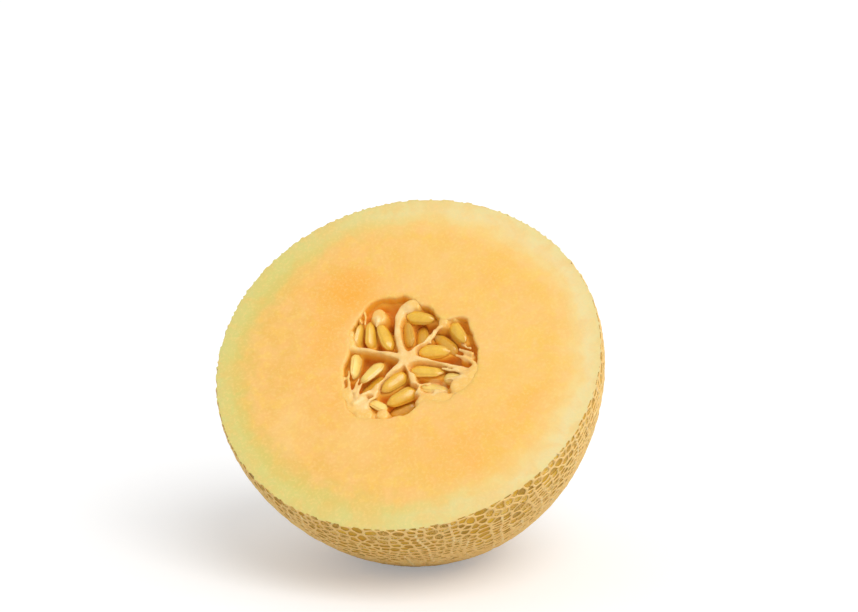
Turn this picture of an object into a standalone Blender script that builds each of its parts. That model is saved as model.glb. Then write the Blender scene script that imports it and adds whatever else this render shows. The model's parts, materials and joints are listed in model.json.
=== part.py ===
"""Half of a netted melon, cut across and resting on its rind. Metres, +Z up.

The origin is the middle of the small flat spot that the half rests on. The cut face looks
forwards (-Y) and up, and the stem end points backwards and down.

Everything is modelled in the fruit's own frame first: its origin is the middle of the cut face,
+Z looks out of the face, +Y runs up the face, and depth is measured from the face towards the
stem. One empty, fruit_frame, then leans the fruit back onto its resting spot.
"""

import math

import bmesh
import bpy

# The half fruit.
FACE_RADIUS = 0.065
HALF_DEPTH = 0.0865
GIRTH_OFFSET = 0.005  # the widest girth lies this far behind the cut
FULLNESS = 1.7  # 2 is an ellipsoid, less runs to a more pointed stem end
LEAN = 46.0  # degrees from upright to the fruit's axis
SPOT_DEPTH = 0.0015  # how far the resting spot is pressed in
SCAR_RADIUS = 0.0055
SCAR_HEIGHT = 0.0008
SCAR_TOP_SHARE = 0.85  # the scar's top is this much of its foot's radius
SCAR_MIDDLE_SHARE = 0.7  # and its middle this much of its height
DIMPLE_RADIUS = 0.012
DIMPLE_DEPTH = 0.0006

# One seed.
SEED_LENGTH = 0.0105
SEED_WIDTH = 0.0047
SEED_THICKNESS = 0.0022
SEED_TAPER = 0.32  # how much narrower the tip is than the blunt end

# The seed cavity and the pulp in it. Its radius is the room that two rows of seeds take.
SEED_ROWS = 2.25
CAVITY_RADIUS = SEED_ROWS * SEED_LENGTH
CAVITY_DEPTH = 0.042
CAVITY_FULLNESS = 2.6
HUB_RADIUS = 0.0040
ARM_THICKNESS = 0.0020
ARM_FLARE = 0.0024  # how far an arm's flank runs out at its foot
CHAMBER_DEPTH = 0.0085
PULP_CLEARANCE = 0.0006
SEED_CLEARANCE = 0.0005

# Degrees round the face, from +X towards +Y.
ARM_ANGLES = (112, 55, -9, -65, -123, -182)

# The cavity's outline: angle, and reach as a share of CAVITY_RADIUS. The chambers bulge between
# the arms, and no two are alike.
CAVITY_OUTLINE = (
    (-182, 0.86),
    (-155, 0.94),
    (-122, 1.15),
    (-104, 1.05),
    (-84, 0.95),
    (-63, 0.76),
    (-42, 0.95),
    (-16, 1.04),
    (8, 1.01),
    (28, 0.99),
    (43, 1.02),
    (59, 0.76),
    (83, 0.89),
    (104, 1.06),
    (125, 1.12),
    (150, 0.99),
)

# The seeds, chamber by chamber: place across and up the face, in seed lengths, and depth below it,
# in seed widths, then heading of the tip, lift of the tip and roll, in degrees, then size as a
# share of one seed.
SEEDS = (
    (-1.77, 0.86, 0.67, 87, 10, 58, 0.90),
    (-1.38, 0.90, 0.58, 100, 10, 40, 0.98),
    (-0.88, 0.87, 0.58, 121, 6, 25, 1.08),
    (-1.22, 1.52, 1.25, 110, 10, -20, 0.92),
    (0.16, 1.64, 0.54, -4, 0, 20, 0.96),
    (-0.15, 1.00, 0.60, 106, 2, -35, 0.98),
    (0.26, 1.12, 1.30, 100, -5, -10, 0.95),
    (1.50, 1.12, 0.50, -50, 5, 20, 0.92),
    (1.06, 0.82, 1.10, 142, 2, -15, 1.04),
    (0.82, 0.38, 0.58, 8, 0, 20, 1.04),
    (0.70, -0.36, 0.54, -3, 4, -15, 1.10),
    (1.68, -0.58, 0.58, -4, 8, 30, 0.84),
    (1.00, -0.92, 0.80, -6, 0, -25, 1.00),
    (-0.30, -0.85, 0.54, -132, 5, -20, 1.00),
    (0.02, -1.32, 0.76, -143, 5, -20, 1.06),
    (0.08, -1.62, 1.52, -153, 0, -30, 1.00),
    (-1.66, -0.32, 0.63, -88, 5, -50, 0.98),
    (-1.10, -0.54, 0.54, -122, 6, 15, 1.02),
    (-1.06, -0.88, 1.21, -132, 0, 20, 1.00),
    (-0.76, -1.66, 0.63, 158, 5, 20, 0.82),
    (-1.10, -1.99, 0.67, 170, 5, 25, 0.84),
)

# How finely the round shapes are divided.
AROUND = 64
RIND_RINGS = 26
BOWL_RINGS = 11
SEED_AROUND = 10
SEED_RINGS = 8
RING_CLEARANCE = 0.001  # the least room between the scar and the rind's last ring
REST_STEPS = 400  # how finely the lowest point is searched for
CUTTER_REACH = 0.01  # how far a cutter stands out of what it cuts
MERGE_DISTANCE = 0.00001


def plain_material(name, colour, roughness):
    material = bpy.data.materials.new(name)
    material.use_nodes = True
    shader = material.node_tree.nodes["Principled BSDF"]
    shader.inputs["Base Color"].default_value = (*colour, 1)
    shader.inputs["Roughness"].default_value = roughness
    shader.inputs["Metallic"].default_value = 0
    return material


def new_object(name, mesh, collection, parent=None):
    piece = bpy.data.objects.new(name, mesh)
    collection.objects.link(piece)
    piece.parent = parent
    return piece


def mesh_from(name, bm):
    mesh = bpy.data.meshes.new(name)
    bm.to_mesh(mesh)
    bm.free()
    mesh.shade_smooth()
    return mesh


def cut(piece, name, cutter):
    """Cuts an object, or every object of a collection, out of a piece."""
    boolean = piece.modifiers.new(name, "BOOLEAN")
    boolean.operation = "DIFFERENCE"
    boolean.solver = "EXACT"
    if isinstance(cutter, bpy.types.Collection):
        boolean.operand_type = "COLLECTION"
        boolean.collection = cutter
    else:
        boolean.object = cutter


def hide_cutter(cutter):
    cutter.hide_render = True
    cutter.display_type = "WIRE"


# The rind's shape.


def girth(depth):
    share = abs(depth - GIRTH_OFFSET) / (HALF_DEPTH - GIRTH_OFFSET)
    return math.sqrt(1 - share**FULLNESS)


def rind_radius(depth):
    return FACE_RADIUS * girth(depth) / girth(0)


def rind_depth(radius):
    """The depth, towards the stem end, where the rind has this radius."""
    share = (1 - (radius * girth(0) / FACE_RADIUS) ** 2) ** (1 / FULLNESS)
    return GIRTH_OFFSET + share * (HALF_DEPTH - GIRTH_OFFSET)


def dimpled(radius, depth):
    return depth - DIMPLE_DEPTH * math.exp(-((radius / DIMPLE_RADIUS) ** 2))


def rind_profile():
    """(radius, depth) from the middle of the cut face, over the rim, to the stem scar."""
    points = [(0, 0), (FACE_RADIUS, 0)]
    for ring in range(1, RIND_RINGS):
        depth = HALF_DEPTH * math.sin(ring / RIND_RINGS * math.pi / 2)
        radius = rind_radius(depth)
        if radius > SCAR_RADIUS + RING_CLEARANCE:
            points.append((radius, dimpled(radius, depth)))
    foot = dimpled(SCAR_RADIUS, rind_depth(SCAR_RADIUS))
    points.append((SCAR_RADIUS, foot))
    points.append((SCAR_RADIUS * SCAR_TOP_SHARE, foot + SCAR_HEIGHT))
    points.append((0, foot + SCAR_HEIGHT * SCAR_MIDDLE_SHARE))
    return points


def resting_place():
    """(height, y) of the middle of the cut face, when the half leans back on its resting spot."""
    lean = math.radians(LEAN)
    depths = [HALF_DEPTH * step / REST_STEPS for step in range(REST_STEPS)]
    reach = [rind_radius(depth) * math.sin(lean) + depth * math.cos(lean) for depth in depths]
    lowest = depths[reach.index(max(reach))]
    behind = lowest * math.sin(lean) - rind_radius(lowest) * math.cos(lean)
    return max(reach) - SPOT_DEPTH, -behind


def make_melon_half(collection, parent):
    profile = rind_profile()
    mesh = bpy.data.meshes.new("melon_half")
    mesh.from_pydata(
        [(radius, 0, -depth) for radius, depth in profile],
        [(i, i + 1) for i in range(len(profile) - 1)],
        [],
    )
    half = new_object("melon_half", mesh, collection, parent)
    screw = half.modifiers.new("turned", "SCREW")
    screw.steps = AROUND
    screw.render_steps = AROUND
    screw.use_merge_vertices = True
    screw.merge_threshold = MERGE_DISTANCE
    screw.use_smooth_shade = True
    mesh.materials.append(plain_material("flesh", (0.95, 0.56, 0.20), 0.45))
    return half


# The seed cavity and its pulp.


def cavity_reach(angle):
    """The cavity's radius at the face, in this direction, on a smooth curve through the outline."""
    turn = math.radians(angle) % math.tau
    stops = sorted((math.radians(a) % math.tau, share) for a, share in CAVITY_OUTLINE)
    stops = [(stops[-1][0] - math.tau, stops[-1][1])] + stops
    stops.append((stops[1][0] + math.tau, stops[1][1]))
    for (start, first), (end, second) in zip(stops, stops[1:]):
        if start <= turn <= end:
            ease = (1 - math.cos(math.pi * (turn - start) / (end - start))) / 2
            return CAVITY_RADIUS * (first + (second - first) * ease)
    raise ValueError(angle)


def cavity_narrowing(depth):
    """How much of its width the cavity keeps at this depth."""
    share = min(depth / CAVITY_DEPTH, 1)
    return math.sqrt(1 - share**CAVITY_FULLNESS)


def smooth_step(value, low, high):
    share = min(max((value - low) / (high - low), 0), 1)
    return share * share * (3 - 2 * share)


def pulp_dip(radius, angle):
    """How far the pulp lies below the cut face: nothing on the hub and arms, most in a chamber."""
    dip = smooth_step(radius, HUB_RADIUS, HUB_RADIUS + ARM_FLARE)
    for arm in ARM_ANGLES:
        aside = math.radians(abs((angle - arm + 180) % 360 - 180))
        off_arm = radius * math.sin(aside) if aside < math.pi / 2 else radius
        dip *= smooth_step(off_arm, ARM_THICKNESS / 2, ARM_THICKNESS / 2 + ARM_FLARE)
    return PULP_CLEARANCE + CHAMBER_DEPTH * dip


def bowl_mesh(name, clearance, top_depth):
    """A ball mapped onto the cavity: its lower half is the cavity's wall, and its upper half is the
    surface that top_depth gives, as a depth below the face at (radius, angle)."""
    bm = bmesh.new()
    bmesh.ops.create_uvsphere(bm, u_segments=AROUND, v_segments=2 * BOWL_RINGS, radius=1)
    for vert in bm.verts:
        angle = math.degrees(math.atan2(vert.co.y, vert.co.x))
        from_pole = math.acos(min(abs(vert.co.z), 1)) / (math.pi / 2)
        rim = top_depth(cavity_reach(angle), angle)
        on_rim = abs(vert.co.z) < MERGE_DISTANCE
        if on_rim or vert.co.z > 0:
            radius = (cavity_reach(angle) * cavity_narrowing(max(rim, 0)) - clearance) * from_pole
            depth = top_depth(radius, angle)
        else:
            share = math.cos(from_pole * math.pi / 2)
            depth = rim + (CAVITY_DEPTH - rim) * share
            radius = max(cavity_reach(angle) * cavity_narrowing(max(depth, 0)) - clearance, 0)
            depth -= clearance * share
        turn = math.radians(angle)
        vert.co = (radius * math.cos(turn), radius * math.sin(turn), -depth)
    return mesh_from(name, bm)


def make_cavity_cutter(collection, parent):
    mesh = bowl_mesh("cavity_cutter", 0, lambda radius, angle: -CUTTER_REACH)
    cutter = new_object("cavity_cutter", mesh, collection, parent)
    hide_cutter(cutter)
    return cutter


def make_seed_pulp(collection, parent):
    mesh = bowl_mesh("seed_pulp", PULP_CLEARANCE, pulp_dip)
    mesh.materials.append(plain_material("pulp", (0.96, 0.72, 0.42), 0.35))
    return new_object("seed_pulp", mesh, collection, parent)


# The seeds.


def seed_mesh(name, share, margin):
    """A flat teardrop along X, its tip at +X, its flat sides facing +Z and -Z."""
    half = [size * share / 2 + margin for size in (SEED_LENGTH, SEED_WIDTH, SEED_THICKNESS)]
    bm = bmesh.new()
    bmesh.ops.create_uvsphere(bm, u_segments=SEED_AROUND, v_segments=SEED_RINGS, radius=1)
    for vert in bm.verts:
        across, through, along = vert.co
        taper = 1 - SEED_TAPER * along
        vert.co = (half[0] * along, half[1] * across * taper, half[2] * through * taper)
    return mesh_from(name, bm)


def place_seed(seed, place):
    across, up, depth, heading, lift, roll = place
    seed.location = (across * SEED_LENGTH, up * SEED_LENGTH, -depth * SEED_WIDTH)
    seed.rotation_euler = (math.radians(roll), -math.radians(lift), math.radians(heading))


def make_seeds(collection, pockets, parent):
    """The seeds, and for each the pocket that it lies in, larger all round by the clearance."""
    material = plain_material("seed_coat", (0.86, 0.56, 0.20), 0.3)
    for number, (*place, share) in enumerate(SEEDS, 1):
        mesh = seed_mesh(f"seed_{number:02d}", share, 0)
        mesh.materials.append(material)
        place_seed(new_object(mesh.name, mesh, collection, parent), place)
        pocket_mesh = seed_mesh(f"pocket_{number:02d}", share, SEED_CLEARANCE)
        pocket = new_object(pocket_mesh.name, pocket_mesh, pockets, parent)
        place_seed(pocket, place)
        hide_cutter(pocket)


# The whole half.


def make_floor_cutter(collection):
    """A block under the resting spot, far wider than the half."""
    side = 4 * FACE_RADIUS
    bm = bmesh.new()
    bmesh.ops.create_cube(bm, size=side)
    cutter = new_object("floor_cutter", mesh_from("floor_cutter", bm), collection)
    cutter.location = (0, 0, -side / 2)
    hide_cutter(cutter)
    return cutter


def new_collection(name, parent):
    collection = bpy.data.collections.new(name)
    parent.children.link(collection)
    return collection


def main():
    for old in list(bpy.data.objects):
        bpy.data.objects.remove(old)
    scene = bpy.context.scene.collection
    parts = new_collection("halved_melon", scene)
    cutters = new_collection("cutters", scene)
    pockets = new_collection("seed_pockets", cutters)

    height, y = resting_place()
    frame = new_object("fruit_frame", None, parts)
    frame.location = (0, y, height)
    frame.rotation_euler = (math.radians(LEAN), 0, 0)

    half = make_melon_half(parts, frame)
    pulp = make_seed_pulp(parts, frame)
    make_seeds(parts, pockets, frame)
    cut(half, "seed cavity", make_cavity_cutter(cutters, frame))
    cut(half, "resting spot", make_floor_cutter(cutters))
    cut(pulp, "seed pockets", pockets)


main()
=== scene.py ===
# %% [markdown]
# # Half a netted melon
# The fruit lies on its rind with the cut face tipped up and forwards. The lesson makes it in the
# order that the eye reads it: the netted rind, the cut flesh, the wet pulp in the seed cavity, the
# seeds, and the cork scar at the hidden stem end.
#
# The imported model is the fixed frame. It says where everything is, so every piece below takes its
# place from it.

# %% Load the fixed frame
import json
import math

import bmesh
import bpy
import numpy as np
from mathutils import Matrix, Vector, geometry, noise

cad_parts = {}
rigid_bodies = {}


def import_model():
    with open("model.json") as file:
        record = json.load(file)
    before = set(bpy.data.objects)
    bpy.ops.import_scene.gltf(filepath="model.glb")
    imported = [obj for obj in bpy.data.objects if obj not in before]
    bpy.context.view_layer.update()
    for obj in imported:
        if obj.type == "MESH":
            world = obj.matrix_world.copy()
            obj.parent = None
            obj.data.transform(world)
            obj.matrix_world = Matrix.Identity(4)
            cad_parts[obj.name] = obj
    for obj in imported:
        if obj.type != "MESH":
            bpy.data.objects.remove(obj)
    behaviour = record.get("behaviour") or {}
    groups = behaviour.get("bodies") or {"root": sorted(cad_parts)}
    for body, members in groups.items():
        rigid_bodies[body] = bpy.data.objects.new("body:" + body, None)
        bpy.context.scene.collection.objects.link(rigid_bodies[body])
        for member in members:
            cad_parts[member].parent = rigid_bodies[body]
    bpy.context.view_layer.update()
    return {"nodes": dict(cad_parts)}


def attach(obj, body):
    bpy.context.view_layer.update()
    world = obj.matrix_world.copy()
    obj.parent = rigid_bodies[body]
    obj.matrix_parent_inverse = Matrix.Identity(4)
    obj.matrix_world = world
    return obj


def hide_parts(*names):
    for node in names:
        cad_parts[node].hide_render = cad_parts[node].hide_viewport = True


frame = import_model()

MM = 0.001

# %% [markdown]
# ## The fruit's own frame
# A melon is close to a solid of revolution, so its shapes are easy to write about its own axis and
# awkward in the room's. The frame of the cut face is read off the model: the face is the flat side
# that looks along the lean, its middle is the middle of the corners that lie in it.
# Pieces are made with Z out of the face and Y up it, and then moved by one matrix.

# %% Frame of the cut face
LEAN = math.radians(46)
FLAT = 0.01 * MM

facing = np.array((0, -math.sin(LEAN), math.cos(LEAN)))
uphill = np.array((0, math.cos(LEAN), math.sin(LEAN)))
corners = np.array([vertex.co for vertex in frame["nodes"]["melon_half"].data.vertices])
face_height = (corners @ facing).max()
in_face = corners[corners @ facing > face_height - FLAT]
up_low, up_high = (in_face @ uphill).min(), (in_face @ uphill).max()
FACE_RADIUS = (up_high - up_low) / 2
face_middle = uphill * (up_low + up_high) / 2 + facing * face_height

to_room = Matrix.Identity(4)
to_room.col[1] = (*uphill, 0)
to_room.col[2] = (*facing, 0)
to_room.col[3] = (*face_middle, 1)
to_fruit = to_room.inverted()
print(f"cut face: radius {FACE_RADIUS / MM:.2f} mm, middle {np.round(face_middle / MM, 2)} mm")

# %% [markdown]
# ## Camera
# A long lens from a little right of the front and a little above, so the round face shows as a
# broad oval with a crescent of rind below it. It aims a little up and right of the face's middle.

# %% Camera
CAMERA_TURN = math.radians(13.9)
CAMERA_RISE = math.radians(12)
CAMERA_DISTANCE = 0.715
CAMERA_LENS = 89.7
AIM_RIGHT, AIM_UP = 7.6 * MM, 17.0 * MM

camera_right = Vector((math.cos(CAMERA_TURN), math.sin(CAMERA_TURN), 0))
camera_back = Vector((
    math.sin(CAMERA_TURN) * math.cos(CAMERA_RISE),
    -math.cos(CAMERA_TURN) * math.cos(CAMERA_RISE),
    math.sin(CAMERA_RISE),
))
camera_up = camera_back.cross(camera_right)
camera = bpy.data.objects.new("camera", bpy.data.cameras.new("camera"))
camera.data.lens = CAMERA_LENS
camera.data.clip_start = 0.01
camera.location = Vector(face_middle) + camera_back * CAMERA_DISTANCE
aim = Vector(face_middle) + camera_right * AIM_RIGHT + camera_up * AIM_UP
camera.rotation_euler = (aim - camera.location).to_track_quat("-Z", "Y").to_euler()
bpy.context.scene.collection.objects.link(camera)
bpy.context.scene.camera = camera
print(f"camera {CAMERA_DISTANCE} m from the face, {CAMERA_LENS} mm lens")

# %% [markdown]
# ## Small helpers for nodes and meshes
# Materials here are many short chains of texture nodes. A few helpers keep each material readable:
# one adds a node and fills its sockets, and the others name the nodes that come up most.

# %% Helpers for nodes
def srgb(red, green, blue):
    """A colour as it looks on a screen, 0 to 255, turned into the linear light that shaders use."""
    shares = [channel / 255 for channel in (red, green, blue)]
    linear = [s / 12.92 if s <= 0.04045 else ((s + 0.055) / 1.055) ** 2.4 for s in shares]
    return (*linear, 1)


def node(tree, kind, inputs=(), **settings):
    """A node with these settings. An input is a plain value or the socket that feeds it."""
    made = tree.nodes.new(kind)
    for name, value in settings.items():
        setattr(made, name, value)
    for name, value in dict(inputs).items():
        if isinstance(value, bpy.types.NodeSocket):
            tree.links.new(value, made.inputs[name])
        else:
            made.inputs[name].default_value = value
    return made


def place_on_piece(tree):
    """The place in the piece's own space, so a pattern stays put when the piece moves."""
    return node(tree, "ShaderNodeTexCoord").outputs["Object"]


def calculate(tree, operation, first, second=0.0, clamp=False):
    inputs = {0: first, 1: second}
    return node(tree, "ShaderNodeMath", inputs, operation=operation, use_clamp=clamp).outputs[0]


def smooth_range(tree, value, low, high, to_low=0.0, to_high=1.0):
    inputs = {
        "Value": value,
        "From Min": low,
        "From Max": high,
        "To Min": to_low,
        "To Max": to_high,
    }
    return node(tree, "ShaderNodeMapRange", inputs, interpolation_type="SMOOTHSTEP").outputs[0]


def mix_colours(tree, share, first, second):
    inputs = {0: share, 6: first, 7: second}  # the share, and the two sockets that are colours
    return node(tree, "ShaderNodeMix", inputs, data_type="RGBA").outputs[2]


def noise_value(tree, vector, scale, detail=3.0, roughness=0.5, distortion=0.0):
    inputs = {
        "Vector": vector,
        "Scale": scale,
        "Detail": detail,
        "Roughness": roughness,
        "Distortion": distortion,
    }
    return node(tree, "ShaderNodeTexNoise", inputs).outputs["Fac"]


def attribute(tree, name, output="Fac"):
    return node(tree, "ShaderNodeAttribute", attribute_name=name).outputs[output]


def colour_stops(tree, share, stops):
    made = node(tree, "ShaderNodeValToRGB", {"Fac": share})
    made.color_ramp.interpolation = "EASE"
    elements = made.color_ramp.elements
    while len(elements) < len(stops):
        elements.new(0.5)
    for element, (position, colour) in zip(elements, stops):
        element.position = position
        element.color = colour
    return made.outputs["Color"]


def bump(tree, height, strength, distance):
    inputs = {"Height": height, "Strength": strength, "Distance": distance}
    return node(tree, "ShaderNodeBump", inputs).outputs["Normal"]


def new_material(name, **settings):
    """A material, its tree and its Principled shader, with plain settings on the shader's sockets."""
    material = bpy.data.materials.new(name)
    material.use_nodes = True
    shader = material.node_tree.nodes["Principled BSDF"]
    for socket, value in settings.items():
        shader.inputs[socket.replace("_", " ")].default_value = value
    return material, material.node_tree, shader


def feed(tree, shader, **sockets):
    """Links what changes over the surface to the shader's sockets of these names."""
    for socket, value in sockets.items():
        tree.links.new(value, shader.inputs[socket.replace("_", " ")])

# %% Helpers for meshes
def new_piece(name, mesh, material, slot, *nodes):
    """Puts a mesh in the room as a piece of the fruit, which stands for the CAD nodes named."""
    piece = bpy.data.objects.new(name, mesh)
    bpy.context.scene.collection.objects.link(piece)
    mesh.materials.append(material)
    mesh.shade_smooth()
    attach(piece, "root")
    if nodes:
        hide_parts(*nodes)


def mesh_of(name, points, faces):
    mesh = bpy.data.meshes.new(name)
    mesh.from_pydata(np.asarray(points).tolist(), [], faces)
    return mesh


def ring_faces(ring_count, around, first=0):
    """Four-sided faces between closed rings of vertices, numbered one ring after another."""
    faces = []
    for ring in range(ring_count - 1):
        here = first + ring * around
        there = here + around
        for i in range(around):
            j = (i + 1) % around
            faces.append((here + i, here + j, there + j, there + i))
    return faces


def store(mesh, name, values, kind="FLOAT"):
    """Keeps a number, or a vector, for each vertex, for the material to read."""
    layer = mesh.attributes.new(name, kind, "POINT")
    field = "value" if kind == "FLOAT" else "vector"
    layer.data.foreach_set(field, np.asarray(values, np.float32).ravel())


def points_of(mesh):
    found = np.empty(len(mesh.vertices) * 3, np.float32)
    mesh.vertices.foreach_get("co", found)
    return found.reshape(-1, 3).astype(float)


def smooth_step(value, low, high):
    share = np.clip((np.asarray(value, float) - low) / (high - low), 0, 1)
    return share * share * (3 - 2 * share)


def noise_at(points, scale, seed=0.0):
    """Soft noise from -1 to 1 at each point. Scale is turns per metre."""
    shift = Vector((seed, seed * 1.7, -seed))
    return np.array([noise.noise(Vector(point) * scale + shift) for point in points])

# %% [markdown]
# ## Shared finishes
# Fruit is never one flat colour. Two effects come back all over the fruit, so each is a group with
# its own inputs: soft patches with fine speckles over them, and a grain of tiny cells for the bump.
# A picture could do this too, but it would have to be unwrapped onto round shapes, and noise in
# space needs no unwrapping.

# %% Group of patches and speckles
def new_group(name, inputs, outputs):
    group = bpy.data.node_groups.new(name, "ShaderNodeTree")
    for label, kind, value in inputs:
        socket = group.interface.new_socket(label, in_out="INPUT", socket_type=kind)
        if value is not None:
            socket.default_value = value
    for label, kind in outputs:
        group.interface.new_socket(label, in_out="OUTPUT", socket_type=kind)
    start = group.nodes.new("NodeGroupInput")
    end = group.nodes.new("NodeGroupOutput")
    return group, start.outputs, end.inputs


mottle, given, out = new_group(
    "mottle",
    (
        ("Vector", "NodeSocketVector", None),
        ("Main", "NodeSocketColor", (1, 1, 1, 1)),
        ("Patch", "NodeSocketColor", (1, 1, 1, 1)),
        ("Speck", "NodeSocketColor", (1, 1, 1, 1)),
        ("Patch Scale", "NodeSocketFloat", 60.0),
        ("Patch Share", "NodeSocketFloat", 0.5),
        ("Speck Scale", "NodeSocketFloat", 900.0),
        ("Speck Share", "NodeSocketFloat", 0.3),
    ),
    (("Color", "NodeSocketColor"),),
)
patches = noise_value(mottle, given["Vector"], given["Patch Scale"], 3, 0.55, 0.4)
patches = smooth_range(mottle, patches, 0.36, 0.66)
specks = noise_value(mottle, given["Vector"], given["Speck Scale"], 2, 0.6)
specks = smooth_range(mottle, specks, 0.48, 0.68)
patched = calculate(mottle, "MULTIPLY", patches, given["Patch Share"])
patched = mix_colours(mottle, patched, given["Main"], given["Patch"])
specked = calculate(mottle, "MULTIPLY", specks, given["Speck Share"])
mottle.links.new(mix_colours(mottle, specked, patched, given["Speck"]), out["Color"])
print("group:", mottle.name, "with", len(mottle.nodes), "nodes")


def mottled(tree, where, main, patch, speck):
    """The mottle group in a material. Its patch and its speck are each (colour, scale, share)."""
    inputs = {"Vector": where, "Main": main}
    inputs.update(zip(("Patch", "Patch Scale", "Patch Share"), patch))
    inputs.update(zip(("Speck", "Speck Scale", "Speck Share"), speck))
    return node(tree, "ShaderNodeGroup", inputs, node_tree=mottle).outputs["Color"]

# %% Group of juicy grain
grain, given, out = new_group(
    "grain",
    (
        ("Vector", "NodeSocketVector", None),
        ("Cell Scale", "NodeSocketFloat", 900.0),
        ("Soft Scale", "NodeSocketFloat", 250.0),
        ("Cell Share", "NodeSocketFloat", 0.5),
    ),
    (("Height", "NodeSocketFloat"),),
)
cell_inputs = {"Vector": given["Vector"], "Scale": given["Cell Scale"]}
cells = node(grain, "ShaderNodeTexVoronoi", cell_inputs, feature="SMOOTH_F1").outputs["Distance"]
cells = calculate(grain, "SUBTRACT", 1.0, cells)
soft = noise_value(grain, given["Vector"], given["Soft Scale"], 4, 0.6)
cells = calculate(grain, "MULTIPLY", cells, given["Cell Share"])
grain.links.new(calculate(grain, "ADD", cells, soft), out["Height"])
print("group:", grain.name, "with", len(grain.nodes), "nodes")


def grain_height(tree, where, cell_scale, soft_scale, cell_share):
    inputs = {
        "Vector": where,
        "Cell Scale": cell_scale,
        "Soft Scale": soft_scale,
        "Cell Share": cell_share,
    }
    return node(tree, "ShaderNodeGroup", inputs, node_tree=grain).outputs["Height"]

# %% [markdown]
# ## The rind's curve
# The rind is a curve turned about the fruit's axis: widest just behind the cut, and running to a
# blunt point at the stem. Its net is drawn on a flat map first. The map is the kind that keeps
# small shapes true: near any point it only scales, so a round cell on the map stays round on the
# fruit. A map point's distance from its middle says how far from the stem end it is.

# %% Rind curve and map
HALF_DEPTH = 86.5 * MM
GIRTH_OFFSET = 5 * MM
FULLNESS = 1.7
DIMPLE_RADIUS, DIMPLE_DEPTH = 12 * MM, 0.6 * MM
OVERSHOOT = 9 * MM  # the net is made this far past the cut, and then trimmed
CURVE_STEPS = 3000


def girth(depth):
    share = np.abs(depth - GIRTH_OFFSET) / (HALF_DEPTH - GIRTH_OFFSET)
    return np.sqrt(np.maximum(1 - share**FULLNESS, 0))


run = np.linspace(0.003, 1, CURVE_STEPS)  # from near the stem end to past the cut
plain_depth = HALF_DEPTH - (HALF_DEPTH + OVERSHOOT) * run**2
curve_radius = FACE_RADIUS * girth(plain_depth) / girth(0.0)
curve_depth = plain_depth - DIMPLE_DEPTH * np.exp(-((curve_radius / DIMPLE_RADIUS) ** 2))
step_radius, step_depth = np.gradient(curve_radius), np.gradient(curve_depth)
step_length = np.hypot(step_radius, step_depth)
arc = np.cumsum(step_length)
curve_map = np.exp(np.cumsum(step_length / curve_radius))
curve_map /= np.interp(0, -curve_depth, curve_map)
out_radius, out_depth = -step_depth / step_length, step_radius / step_length


def from_map(spots, height):
    """Map points, and their heights above the skin, as points in the fruit's frame."""
    reach = np.hypot(spots[:, 0], spots[:, 1])
    across, up = spots[:, 0] / reach, spots[:, 1] / reach
    radius = np.interp(reach, curve_map, curve_radius)
    radius = radius + height * np.interp(reach, curve_map, out_radius)
    depth = np.interp(reach, curve_map, curve_depth)
    depth = depth + height * np.interp(reach, curve_map, out_depth)
    return np.stack((radius * across, radius * up, -depth), axis=1)


def map_scale(spots):
    """Metres on the fruit for one unit on the map."""
    reach = np.hypot(spots[:, 0], spots[:, 1])
    return np.interp(reach, curve_map, curve_radius) / reach


print(f"rind: {arc[-1] / MM:.0f} mm along its curve, {curve_radius.max() / MM:.1f} mm at the girth")

# %% [markdown]
# ## Where the net's cells are
# The net is cork that heals over cracks in the growing skin. The first cracks run lengthwise, and
# some stay open as long pale streaks. Short cross cracks then join them into cells of two to five
# millimetres. So the streaks are laid first, as rows of small cells that will be filled with cork,
# each row with a row on either side to keep its edge straight. Most cracks closed to one long cord,
# and that is the line between two rows of cells with nothing between them. Then cells are dropped
# at random wherever there's room, closer together in some places than in others.

# %% Streaks
NET_SEED = 11
STREAK_COUNT = 7
CORD_COUNT = 54
CORD_ASIDE = 1.2 * MM  # how far the cells on either side of a long cord lie from it
STREAK_CELL = 2.2 * MM  # the least length of a cell beside a crack
CRACK_SWAY = 0.06  # radians that a crack wanders to either side
CRACK_LENGTHS = (0.16, 0.4)  # these and the next are shares of the way from stem to cut
CRACK_START, CRACK_END = 0.3, 1.06
STREAK_HALF_WIDTHS = (0.5, 0.85)  # in mm
rng = np.random.default_rng(NET_SEED)
site_map, site_filled, site_row = [], [], []


def lay_streak(number, turn, start, length, half_width):
    """A crack along the fruit with a row of cells on each of its sides. A wide one also has a
    row down its middle that fills with cork; a narrow one is the long cord between two rows."""
    filled = half_width > 0
    step = max(1.9 * half_width, STREAK_CELL)
    count = max(int(length / step), 3)
    for index in range(count):
        for side in (-1, 1, 0) if filled else (-1, 1):
            share = (index + 0.5 + rng.uniform(-0.3, 0.3)) / count
            along = start + length * share
            sway = CRACK_SWAY * noise.noise(Vector((turn * 9, along * 60, 0)))
            aside = CORD_ASIDE * rng.uniform(0.85, 1.2)
            if filled:
                aside = 2 * half_width * math.sqrt(math.sin(math.pi * share)) + 0.5 * MM
            reach = np.interp(along, arc, curve_map)
            angle = turn + sway + side * aside / np.interp(along, arc, curve_radius)
            site_map.append((reach * math.cos(angle), reach * math.sin(angle)))
            site_filled.append(int(side == 0))
            site_row.append(0 if filled else side * number)


whole_arc = np.interp(0, -curve_depth, arc)
turns = np.linspace(0, math.tau, STREAK_COUNT + CORD_COUNT, endpoint=False)
turns = turns + rng.uniform(-0.02, 0.02, len(turns))
wide = set(rng.choice(len(turns), STREAK_COUNT, replace=False).tolist())
for number, turn in enumerate(turns):
    length = whole_arc * rng.uniform(*CRACK_LENGTHS)
    start = rng.uniform(CRACK_START * whole_arc, whole_arc * CRACK_END - length)
    half_width = rng.uniform(*STREAK_HALF_WIDTHS) * MM if number in wide else 0
    lay_streak(number + 1, turn, start, length, half_width)
print(f"{STREAK_COUNT} streaks and {CORD_COUNT} long cords from {len(site_map)} cells")

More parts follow.
